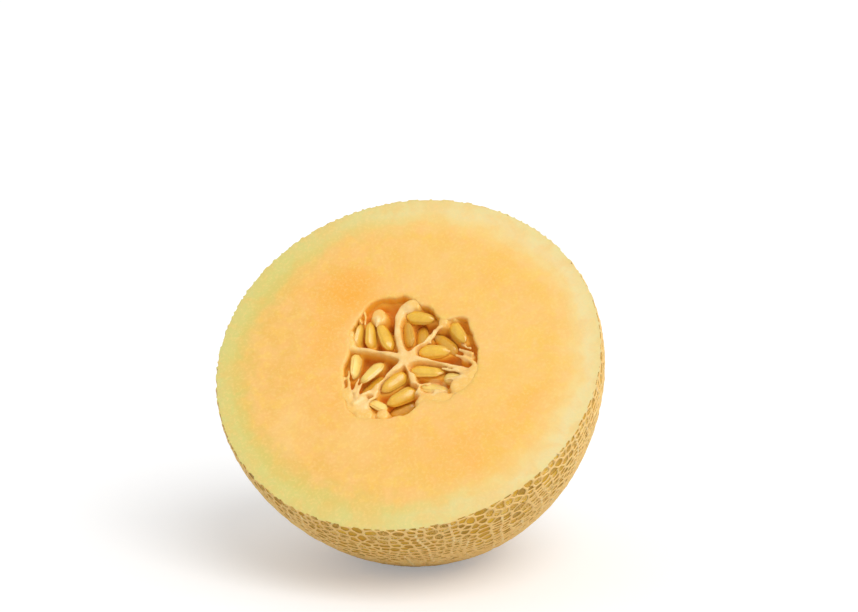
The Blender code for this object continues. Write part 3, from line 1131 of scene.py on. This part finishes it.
# %% Depth of the pulp
WALL_FLARE = 1.3 * MM  # how far a wall's side runs out from its top to the floor
WALL_TOP = 0.15 * MM  # a wall's depth below the cut near the hub
WALL_SAG = 0.7 * MM  # how much deeper it lies where it meets the flesh
WALL_UNEVEN = 0.35 * MM
FLOOR_DEPTH = 8.0 * MM
FLOOR_UNEVEN = 1.2 * MM
SHELF_DEPTH = 3.0 * MM  # how far below the cut the pulp lies where it meets the flesh
SHELF_WIDTH = 6.0 * MM
WEB_UNEVEN = 0.35 * MM
EDGE_FINE, EDGE_BROAD = 0.35, 0.4  # mm that small and large ragged bits move an edge
BED_MARGIN = 1.5  # a bed reaches this many times the seed's own outline
BED_DROP = 0.4  # a bed lies this share of the seed's thickness below its middle
HOLLOW_MARGIN = 1.22  # the hollow round a seed ends this many times its outline away
SKINNED_SEEDS = ("seed_04", "seed_12", "seed_13", "seed_21")  # these keep a skin of pulp over them


def off_seed(plan, turned, middle, sizes):
    """1 on the seed's outline as seen on the face, less inside it and more outside."""
    along, across = turned[:2, 0], turned[:2, 1]
    offset = plan - middle[:2]
    a = offset @ along / (along @ along) / (sizes[0] / 2)
    b = offset @ across / max(across @ across, 0.2) / (sizes[1] / 2)
    return np.hypot(a, b)


def bed_depth(turned, middle, sizes):
    """How far below the cut the bed of a seed lies."""
    return -middle[2] + BED_DROP * sizes[2]


def pulp_depth(plan, from_wall):
    """The pulp's depth below the cut at plan points that lie this far from the flesh."""
    flat_plan = np.column_stack((plan, np.zeros(len(plan))))
    ragged = noise_at(flat_plan, 420, 3.3) * EDGE_FINE * MM
    ragged = ragged + noise_at(flat_plan, 150, 9.2) * EDGE_BROAD * MM
    wall = 1 - smooth_step(off_walls(plan) + ragged, 0, WALL_FLARE)
    reach = np.hypot(plan[:, 0], plan[:, 1])
    top = WALL_TOP + WALL_SAG * smooth_step(reach, 5 * MM, 22 * MM)
    top = top + WALL_UNEVEN * noise_at(flat_plan, 260, 5.5)
    inner = smooth_step(from_wall + 3 * ragged, 0, SHELF_WIDTH)
    floor = SHELF_DEPTH + (FLOOR_DEPTH - SHELF_DEPTH) * inner
    floor = floor + FLOOR_UNEVEN * noise_at(flat_plan, 120, 2.2) * inner
    depth = top * wall + floor * (1 - wall)
    uneven = WEB_UNEVEN * (0.5 + noise_at(flat_plan, 330, 6.4))
    uneven = uneven * smooth_step(from_wall, 2 * MM, 5 * MM)
    for x, y, radius, web_depth in np.array(WEBS) * MM:
        away = np.hypot(plan[:, 0] - x, plan[:, 1] - y) + 2 * ragged
        gone = smooth_step(away, radius * 0.8, radius * 1.5)
        depth = np.minimum(depth, web_depth + uneven + (floor - web_depth) * gone)
    for place in seed_places.values():
        bed = 1 - smooth_step(off_seed(plan, *place) + ragged / MM * 0.25, 1.0, BED_MARGIN)
        depth = np.minimum(depth, floor + (bed_depth(*place) - floor) * bed)
    for name, place in seed_places.items():
        if name not in SKINNED_SEEDS:
            hollow = 1 - smooth_step(off_seed(plan, *place), 1.0, HOLLOW_MARGIN)
            depth = np.maximum(depth, bed_depth(*place) * hollow)
    for x, y, radius, lobe_depth in np.array(LOBES) * MM:
        away = np.hypot(plan[:, 0] - x, plan[:, 1] - y) + 0.5 * ragged
        gone = smooth_step(away, radius * 0.6, radius * 1.3)
        depth = np.minimum(depth, lobe_depth + (floor - lobe_depth) * gone)
    return depth

# %% Pulp body
PULP_AROUND = 220
PULP_RINGS = 74
PULP_WALL_RINGS = 22
PULP_OVERLAP = 1.6 * MM  # the pulp grows this far into the flesh, so no gap opens between them

pulp_turns = np.linspace(-math.pi, math.pi, PULP_AROUND, endpoint=False)
pulp_compass = np.stack((np.cos(pulp_turns), np.sin(pulp_turns)), axis=1)
pulp_reach = cavity_reach(pulp_turns) + PULP_OVERLAP
layers = []
for ring in range(1, PULP_RINGS + 1):
    plan = pulp_compass * (pulp_reach * ring / PULP_RINGS)[:, None]
    from_wall = pulp_reach * (1 - ring / PULP_RINGS)
    layers.append(np.column_stack((plan, -pulp_depth(plan, from_wall))))
edge_depth = -layers[-1][:, 2]
for ring in range(1, PULP_WALL_RINGS + 1):
    share = math.sin(ring / PULP_WALL_RINGS * math.pi / 2)
    depth = edge_depth + (CAVITY_DEPTH - MM - edge_depth) * share
    plan = pulp_compass * np.maximum(pulp_reach * cavity_narrowing(depth), 0.2 * MM)[:, None]
    layers.append(np.column_stack((plan, -depth)))
pulp_points = np.concatenate([*layers, [[0, 0, -0.2 * MM]]])
pulp_faces = [(a, d, c, b) for a, b, c, d in ring_faces(len(layers), PULP_AROUND)]
for i in range(PULP_AROUND):
    pulp_faces.append((len(pulp_points) - 1, i, (i + 1) % PULP_AROUND))
last = (len(layers) - 1) * PULP_AROUND
pulp_faces.append(tuple(last + i for i in reversed(range(PULP_AROUND))))
print(f"pulp body: {len(pulp_points)} points")

# %% [markdown]
# ## Strands and skins
# Wet pulp clings to the seeds in strings and thin skins. Each is a listed tube or flattened ball,
# and then all of it and the pulp's body are melted into one skin by remeshing in small cubes.
# Joining them with Booleans would leave sharp seams where wet pulp has soft webs.

# %% Strands
# Each strand: points across, up and below the cut, and its radius there, all in mm.
STRANDS = (
    ((-17.9, 17.9, 0.7, 0.6), (-17.1, 15.6, 0.8, 0.5), (-16.7, 12.6, 1.6, 0.5)),
    ((-12.9, 15.6, 0.7, 0.5), (-13.0, 13.8, 0.9, 0.6), (-12.8, 12.0, 1.6, 0.4)),
    ((-19.3, -5.4, 1.6, 0.4), (-18.3, -9.6, 0.8, 0.55), (-17.4, -13.4, 0.7, 0.7),
     (-16.4, -18.0, 0.8, 0.9)),
    ((-15.0, -8.6, 1.0, 0.35), (-15.4, -11.4, 0.6, 0.5), (-15.9, -15.0, 0.5, 0.7)),
    ((-13.4, -10.6, 0.8, 0.4), (-14.2, -12.8, 0.4, 0.55), (-14.6, -16.6, 0.5, 0.8)),
    ((-10.2, -13.4, 0.7, 0.5), (-12.2, -15.2, 0.4, 0.7), (-15.2, -19.4, 0.8, 1.0)),
    ((-8.0, -15.4, 1.2, 0.5), (-9.6, -17.2, 0.7, 0.6), (-11.6, -19.4, 1.0, 0.8)),
    ((5.4, 6.8, 0.8, 0.45), (7.2, 8.2, 1.3, 0.45), (8.0, 10.8, 1.6, 0.5), (9.0, 13.0, 1.2, 0.7)),
    ((7.0, 6.6, 1.6, 0.4), (6.6, 9.0, 1.4, 0.45), (7.4, 12.2, 1.0, 0.5)),
    ((16.8, 5.6, 2.4, 0.6), (19.2, 4.4, 1.8, 0.7), (22.4, 2.8, 1.2, 0.8)),
    ((15.8, 3.0, 2.2, 0.5), (19.4, 1.8, 1.8, 0.6), (23.4, -0.6, 1.2, 0.8)),
    ((17.6, 7.6, 3.0, 0.5), (19.6, 6.2, 2.4, 0.5), (21.2, 5.6, 2.0, 0.6)),
    ((12.2, -3.0, 1.4, 0.5), (17.2, -3.8, 0.9, 0.55), (22.6, -4.6, 0.8, 0.8)),
    ((14.2, -7.4, 1.2, 0.45), (17.4, -6.8, 0.9, 0.6), (22.4, -5.6, 0.7, 0.9)),
    ((3.6, -9.4, 0.6, 0.6), (6.4, -9.8, 1.6, 0.4), (9.4, -8.0, 2.6, 0.4)),
    ((6.2, -13.0, 0.6, 0.6), (8.4, -13.8, 0.9, 0.5), (12.4, -13.4, 1.2, 0.5),
     (15.6, -12.0, 1.6, 0.5)),
)
# Each skin: middle across, up and below the cut, three half sizes, and its turn in degrees.
SKINS = (
    (-3.0, 20.6, 1.7, 2.8, 2.4, 1.3, 20),
    (10.7, -10.6, 4.0, 5.3, 2.5, 1.5, -4),
    (-13.2, -18.2, 1.6, 3.4, 3.0, 1.3, 30),
)
STRAND_SIDES = 8
STRAND_STEPS = 14
STRAND_WIGGLE = 0.35  # in mm


def add_strand(bm, samples):
    """A closed tube through the samples, each of them a point and a radius."""
    loops = []
    for index, sample in enumerate(samples):
        ahead = samples[min(index + 1, len(samples) - 1)][:3] - samples[max(index - 1, 0)][:3]
        turn = Vector(ahead).to_track_quat("Z", "Y")
        loop = []
        for side in range(STRAND_SIDES):
            angle = math.tau * side / STRAND_SIDES
            spoke = turn @ Vector((math.cos(angle), math.sin(angle), 0))
            loop.append(bm.verts.new(Vector(sample[:3]) + spoke * sample[3]))
        loops.append(loop)
    for lower, upper in zip(loops, loops[1:]):
        for i in range(STRAND_SIDES):
            j = (i + 1) % STRAND_SIDES
            bm.faces.new((lower[i], lower[j], upper[j], upper[i]))
    bm.faces.new(loops[0][::-1])
    bm.faces.new(loops[-1])


bm = bmesh.new()
bm.from_mesh(mesh_of("pulp_body", pulp_points, pulp_faces))
strand_samples = []
for strand in STRANDS:
    samples = line_samples(strand, STRAND_STEPS)
    samples[:, 2] *= -1
    wiggle = np.stack([noise_at(samples[:, :3], 500, shift) for shift in (1.1, 4.4, 7.7)], axis=1)
    samples[:, :3] += wiggle * STRAND_WIGGLE * MM
    add_strand(bm, samples)
    strand_samples.append(samples)
for x, y, below, half_x, half_y, half_z, turn in SKINS:
    placed = Matrix.Translation(Vector((x, y, -below)) * MM)
    placed = placed @ Matrix.Rotation(math.radians(turn), 4, "Z")
    placed = placed @ Matrix.Diagonal(Vector((half_x, half_y, half_z, 1 / MM)) * MM)
    bmesh.ops.create_uvsphere(bm, u_segments=24, v_segments=16, radius=1, matrix=placed)
rough_mesh = bpy.data.meshes.new("rough_pulp")
bm.to_mesh(rough_mesh)
bm.free()
print(f"{len(STRANDS)} strands and {len(SKINS)} skins")

# %% Melt the pulp into one skin
PULP_VOXEL = 0.4 * MM
SMOOTH_TIMES = 6
rough = bpy.data.objects.new("rough_pulp", rough_mesh)
bpy.context.scene.collection.objects.link(rough)
melt = rough.modifiers.new("melt", "REMESH")
melt.mode = "VOXEL"
melt.voxel_size = PULP_VOXEL
soften = rough.modifiers.new("soften", "SMOOTH")
soften.factor = 0.5
soften.iterations = SMOOTH_TIMES
graph = bpy.context.evaluated_depsgraph_get()
pulp_mesh = bpy.data.meshes.new_from_object(rough.evaluated_get(graph))
pulp_mesh.name = "seed_pulp_skin"
pulp_mesh.materials.clear()
bpy.data.objects.remove(rough)

melted = points_of(pulp_mesh)
film = np.full(len(melted), 1.0)
for x, y, z, radius in np.concatenate(strand_samples):
    away = np.sqrt(((melted - (x, y, z)) ** 2).sum(axis=1)) - radius
    film = np.minimum(film, away / MM)
for x, y, below, half_x, half_y, half_z, turn in SKINS:
    away = np.sqrt(((melted / MM - (x, y, -below)) ** 2).sum(axis=1)) - max(half_x, half_y) * 0.8
    film = np.minimum(film, away)
store(pulp_mesh, "film", 1 - smooth_step(film, 0.1, 0.8))
store(pulp_mesh, "below_cut", -melted[:, 2] / MM)
melted_turns = np.arctan2(melted[:, 1], melted[:, 0])
inside = cavity_reach(melted_turns) - np.hypot(melted[:, 0], melted[:, 1])
store(pulp_mesh, "from_flesh", inside / MM)
star = 1 - smooth_step(off_walls(melted[:, :2]), -0.2 * MM, 0.7 * MM)
store(pulp_mesh, "star", star * smooth_step(melted[:, 2], -5 * MM, -1 * MM))
pulp_mesh.transform(to_room)
print(f"pulp: {len(melted)} vertices after melting")

# %% [markdown]
# ## The pulp's finish
# Cut walls are pale peach, strings and skins are nearly white where they are thin, and deeper pulp is
# more orange; below that it is painted a dark burnt orange and brown as shade in the depths. It is
# soaked in juice, so it has a clear coat with sharp highlights, and light passes some way into it.

# %% Pulp material
PULP_FLESH = srgb(250, 200, 104)
PULP_PEACH = srgb(250, 200, 112)
PULP_CREAM = srgb(251, 212, 140)
PULP_AMBER = srgb(246, 190, 88)
PULP_ORANGE = srgb(244, 178, 52)
# Painted shade: the pulp's depths darken to these two.
PULP_SHADE_BROWN = srgb(228, 144, 30)
PULP_SHADE_DARK = srgb(162, 88, 16)
PULP_TAWNY = srgb(244, 178, 76)
PULP_GLINT = srgb(254, 232, 190)

pulp_material, tree, shader = new_material(
    "seed_pulp",
    Subsurface_Weight=0.2,
    Subsurface_Radius=(1.0, 0.8, 0.4),
    Subsurface_Scale=0.0015,
    Specular_IOR_Level=0.35,
    Coat_Roughness=0.1,
)
where = place_on_piece(tree)
below_cut = attribute(tree, "below_cut")
below = calculate(tree, "DIVIDE", below_cut, 10.0, clamp=True)
# Deeper pulp turns more orange, and its brown and dark stops are painted shade in the depths.
depth_and_shade = colour_stops(tree, below, (
    (0.0, PULP_PEACH),
    (0.16, PULP_AMBER),
    (0.34, PULP_ORANGE),
    (0.6, PULP_SHADE_BROWN),
    (1.0, PULP_SHADE_DARK),
))
pale = calculate(tree, "MAXIMUM", attribute(tree, "film"), attribute(tree, "star"))
colour = mix_colours(tree, calculate(tree, "MULTIPLY", pale, 0.85), depth_and_shade, PULP_CREAM)
near_flesh = smooth_range(tree, attribute(tree, "from_flesh"), 1.0, 4.5, 0.9, 0)
near_cut = smooth_range(tree, below_cut, 1.2, 2.6, 1, 0)
joined = calculate(tree, "MULTIPLY", near_flesh, near_cut)
colour = mix_colours(tree, joined, colour, PULP_FLESH)
glints = smooth_range(tree, below, 0.08, 0.3, 0.2, 0.02)
colour = mottled(tree, where, colour, (PULP_TAWNY, 190.0, 0.4), (PULP_GLINT, 1300.0, glints))
threads = node(tree, "ShaderNodeMapping", {"Vector": where, "Scale": (1.0, 1.0, 3.0)})
wet = grain_height(tree, threads.outputs["Vector"], 700.0, 420.0, 0.5)
feed(
    tree,
    shader,
    Base_Color=colour,
    Roughness=smooth_range(tree, below, 0.1, 0.4, 0.34, 0.7),
    Coat_Weight=smooth_range(tree, below, 0.1, 0.35, 0.35, 0),
    Normal=bump(tree, wet, 0.4, 0.3 * MM),
)
new_piece("seed_pulp_skin", pulp_mesh, pulp_material, "seed_pulp", "seed_pulp")
print(f"pulp finished with {len(tree.nodes)} nodes")

# %% [markdown]
# ## The seeds
# A melon seed is a flat teardrop with a thin raised rim. Each starts as a ball, is drawn out to the
# seed's own length, width and thickness, and gets its rim, a slight bend and its own unevenness.

# %% Seed mesh
SEED_TAPER = 0.24
SEED_POINT = 0.10
SEED_PLUMP = 0.14  # how much fuller than a plain ball towards its ends
SEED_AROUND, SEED_RINGS = 36, 30
SEED_BEND = 0.05
SEED_UNEVEN = 0.05
SEED_THINNING = 0.35  # how much thinner than a ball towards its edge
# The groove and the rim beside it: place and width from middle to edge, and share of thickness.
GROOVE_PLACE, GROOVE_WIDTH, GROOVE_DEPTH = 0.78, 0.09, 0.16
RIM_PLACE, RIM_WIDTH, RIM_HEIGHT = 0.93, 0.06, 0.07


def seed_mesh(name, turned, middle, sizes, seed):
    """One seed where the model has it. Its number makes it unlike the others."""
    bm = bmesh.new()
    bmesh.ops.create_uvsphere(bm, u_segments=SEED_AROUND, v_segments=SEED_RINGS, radius=1)
    ball = np.array([vertex.co for vertex in bm.verts])
    along, across, through = ball[:, 2], ball[:, 0], ball[:, 1]
    fullness = np.sqrt(np.maximum(1 - along**2, 1e-9))
    from_edge = np.clip(np.abs(across) / fullness, 0, 1)
    taper = (1 - SEED_TAPER * along) * (1 - SEED_POINT * smooth_step(along, 0.55, 1))
    taper = taper * (1 + SEED_PLUMP * 4 * along**2 * (1 - along**2))
    groove = GROOVE_DEPTH * np.exp(-(((from_edge - GROOVE_PLACE) / GROOVE_WIDTH) ** 2))
    rim = RIM_HEIGHT * np.exp(-(((from_edge - RIM_PLACE) / RIM_WIDTH) ** 2))
    thin = 1 - SEED_THINNING * smooth_step(from_edge, 0.6, 1.0)
    thick = through * (1 - groove + rim) * thin
    bend = SEED_BEND * (1 - along**2) * math.sin(seed * 2.1)
    shape = np.stack((along, (across + bend) * taper, thick * taper), axis=1)
    uneven = noise_at(shape, 1.6, seed * 3.7) * SEED_UNEVEN
    shape = shape * (1 + uneven)[:, None] * sizes / 2
    placed = shape @ turned.T + middle
    for vertex, place in zip(bm.verts, placed):
        vertex.co = place
    mesh = bpy.data.meshes.new(name)
    bm.to_mesh(mesh)
    bm.free()
    store(mesh, "from_edge", from_edge)
    store(mesh, "along", along)
    mesh.transform(to_room)
    return mesh

# %% [markdown]
# ## The seeds' finish
# The seed coat is creamy gold and darker towards the tip, with fine lines along it. Shade is painted
# in along the groove and towards the edge. A film of juice makes it shine. No two seeds have quite
# the same tone, so each mesh carries its own.

# %% Seed material
SEED_GOLD = srgb(242, 192, 58)
SEED_CREAM = srgb(253, 222, 124)
SEED_AMBER = srgb(200, 136, 30)

seed_material, tree, shader = new_material(
    "seed_coat",
    Subsurface_Weight=0.2,
    Subsurface_Radius=(1.0, 0.6, 0.3),
    Subsurface_Scale=0.0012,
    Roughness=0.3,
    Coat_Weight=0.5,
    Coat_Roughness=0.1,
)
where = place_on_piece(tree)
from_edge = attribute(tree, "from_edge")
tones = ((0.0, SEED_AMBER), (0.5, SEED_GOLD), (1.0, SEED_CREAM))
coat = colour_stops(tree, attribute(tree, "tone"), tones)
# Painted shade: the coat darkens towards its edge, where its sides turn away from the light.
edge = smooth_range(tree, from_edge, 0.84, 1.0, 0, 0.35)
# Painted shade: the coat darkens along its groove.
from_groove = calculate(tree, "ABSOLUTE", calculate(tree, "SUBTRACT", from_edge, 0.76))
groove = smooth_range(tree, from_groove, 0.0, 0.14, 0.35, 0)
tip = smooth_range(tree, attribute(tree, "along"), 0.6, 1.0, 0, 0.5)
for darker in (edge, groove, tip):
    coat = mix_colours(tree, darker, coat, SEED_AMBER)
coat = mottled(tree, where, coat, (SEED_AMBER, 330.0, 0.22), (SEED_CREAM, 1800.0, 0.15))
lines = grain_height(tree, where, 1500.0, 500.0, 0.3)
feed(tree, shader, Base_Color=coat, Normal=bump(tree, lines, 0.1, 0.12 * MM))
print(f"seed coat finished with {len(tree.nodes)} nodes")

# %% Seeds
# Seeds that are clearly paler or darker than the rest; all others are near the middle tone.
SEED_TONES = {
    "seed_04": 0.25,
    "seed_06": 0.25,
    "seed_07": 0.3,
    "seed_09": 0.28,
    "seed_12": 0.95,
    "seed_13": 0.9,
    "seed_14": 0.38,
    "seed_15": 0.4,
    "seed_16": 0.3,
    "seed_17": 0.9,
    "seed_18": 0.85,
    "seed_20": 1.0,
    "seed_21": 0.95,
}
for number, name in enumerate(seed_names, 1):
    mesh = seed_mesh("fine_" + name, *seed_places[name], number)
    tone_here = SEED_TONES.get(name, 0.5 + 0.12 * math.sin(number * 1.9))
    store(mesh, "tone", np.full(len(mesh.vertices), tone_here))
    new_piece("fine_" + name, mesh, seed_material, "seed_coat", name)
print(f"{len(seed_names)} seeds laid in the pulp")

# %% [markdown]
# ## The stem scar
# Where the stem let go, the fruit healed with a round plug of cork: a raised rim, a hollow middle,
# and cracks that cross it. It is made as a fine round grid whose height follows those three.

# %% Stem scar
SCAR_RADIUS = 5.5 * MM
SCAR_HEIGHT = 0.9 * MM
SCAR_AROUND, SCAR_RINGS = 120, 34
SCAR_WAVE = 0.06  # how much its outline wavers
SCAR_SUNK = 0.25 * MM  # how far its foot stands in the rind
SCAR_RIM_PLACE, SCAR_RIM_WIDTH = 0.72, 0.17  # shares of its radius
# Shares of its height: the plug itself, its rim, its cracks and its lumps.
SCAR_PLUG, SCAR_RIM, SCAR_CRACKS, SCAR_LUMPS = 0.55, 0.6, 0.35, 0.22
CRACK_WIDTH = 0.22  # a share of the plates of cork between cracks

scar_foot = np.interp(-SCAR_RADIUS, -curve_radius[::-1], curve_depth[::-1])
scar_turns = np.linspace(0, math.tau, SCAR_AROUND, endpoint=False)
scar_points, scar_cracks = [], []
for ring in range(SCAR_RINGS + 1):
    share = ring / SCAR_RINGS
    for turn in scar_turns:
        waver = noise.noise(Vector((math.cos(turn), math.sin(turn), 4)) * 1.6)
        outline = SCAR_RADIUS * (1 + SCAR_WAVE * waver)
        x, y = outline * share * math.cos(turn), outline * share * math.sin(turn)
        nearest, _ = noise.voronoi(Vector((x, y, 0)) * 620 + Vector((3, 1, 2)))
        crack = 1 - min((nearest[1] - nearest[0]) / CRACK_WIDTH, 1)
        lump = noise.noise(Vector((x, y, 3 * MM)) * 900)
        rim = math.exp(-(((share - SCAR_RIM_PLACE) / SCAR_RIM_WIDTH) ** 2))
        crack_cut = SCAR_CRACKS * crack * (share < 0.97)
        height = SCAR_HEIGHT * (SCAR_PLUG + SCAR_RIM * rim - crack_cut + SCAR_LUMPS * lump)
        height *= 1 - float(smooth_step(share, 0.86, 1.0))
        scar_points.append((x, y, -(scar_foot - SCAR_SUNK + height)))
        scar_cracks.append(crack)
scar_mesh = mesh_of("stem_scar", scar_points, ring_faces(SCAR_RINGS + 1, SCAR_AROUND))
store(scar_mesh, "crack", scar_cracks)
scar_mesh.transform(to_room)
print(f"scar: {len(scar_points)} vertices, foot {scar_foot / MM:.1f} mm behind the cut")

# %% Scar material
SCAR_TAN = srgb(196, 168, 126)
SCAR_BROWN = srgb(150, 116, 74)
SCAR_PALE = srgb(224, 204, 168)
SCAR_CRACK = srgb(84, 56, 30)

scar_material, tree, shader = new_material("stem_scar", Roughness=0.85, Specular_IOR_Level=0.25)
where = place_on_piece(tree)
plug = mottled(tree, where, SCAR_TAN, (SCAR_BROWN, 420.0, 0.8), (SCAR_PALE, 1900.0, 0.5))
crack = smooth_range(tree, attribute(tree, "crack"), 0.35, 0.95, 0, 0.85)
fine = grain_height(tree, where, 2600.0, 900.0, 0.7)
feed(
    tree,
    shader,
    Base_Color=mix_colours(tree, crack, plug, SCAR_CRACK),
    Normal=bump(tree, fine, 0.6, 0.2 * MM),
)
new_piece("stem_scar", scar_mesh, scar_material, "stem_scar")
print(f"scar finished with {len(tree.nodes)} nodes")

# %% [markdown]
# ## Floor and light
# A pale floor in white surroundings. What the camera sees of the floor glows a little, which keeps
# it nearly white, but the glow throws no light on the fruit. Two broad lights, as soft as big
# windows, come from the front right: the key from high up shapes the fruit, and the weaker fill,
# lower and further round, opens the shade on the rind.

# %% Floor
FLOOR_SIZE = 12
FLOOR_DROP = 0.1 * MM
FLOOR_GLOW = 0.3
FLOOR_DARKER = (0.77, 0.77, 0.77, 1)
FLOOR_LIGHTER = (0.79, 0.79, 0.79, 1)
WHITE = (1, 1, 1, 1)

floor_material, tree, shader = new_material("pale_floor", Roughness=0.8, Emission_Color=WHITE)
seen = node(tree, "ShaderNodeLightPath").outputs["Is Camera Ray"]
paper = noise_value(tree, place_on_piece(tree), 300, 3, 0.5)
feed(
    tree,
    shader,
    Base_Color=mix_colours(tree, paper, FLOOR_DARKER, FLOOR_LIGHTER),
    Emission_Strength=calculate(tree, "MULTIPLY", seen, FLOOR_GLOW),
)
bpy.ops.mesh.primitive_plane_add(size=FLOOR_SIZE, location=(0, 0, -FLOOR_DROP))
floor = bpy.context.object
floor.name = "floor"
floor.data.materials.append(floor_material)
print(f"floor: {FLOOR_SIZE} m across")

# %% Light
SKY_LIGHT, SKY_SEEN = 0.58, 1.0  # how bright the sky is for the fruit, and for the camera
# Each light: name, energy, how wide it is, how far it leans over, and which way, in degrees.
LIGHTS = (("key", 1.4, 40, 40, 44), ("fill", 0.5, 60, 62, 78))

world = bpy.data.worlds.new("studio")
world.use_nodes = True
tree = world.node_tree
sky = tree.nodes["Background"]
sky.inputs["Color"].default_value = WHITE
seen = node(tree, "ShaderNodeLightPath").outputs["Is Camera Ray"]
feed(tree, sky, Strength=smooth_range(tree, seen, 0, 1, SKY_LIGHT, SKY_SEEN))
bpy.context.scene.world = world

for name, energy, width, lean, way in LIGHTS:
    light = bpy.data.objects.new(name, bpy.data.lights.new(name, "SUN"))
    light.data.energy = energy
    light.data.angle = math.radians(width)
    light.rotation_euler = (math.radians(lean), 0, math.radians(way))
    bpy.context.scene.collection.objects.link(light)
bpy.context.scene.view_settings.view_transform = "Standard"
print("sky and", len(LIGHTS), "lights")
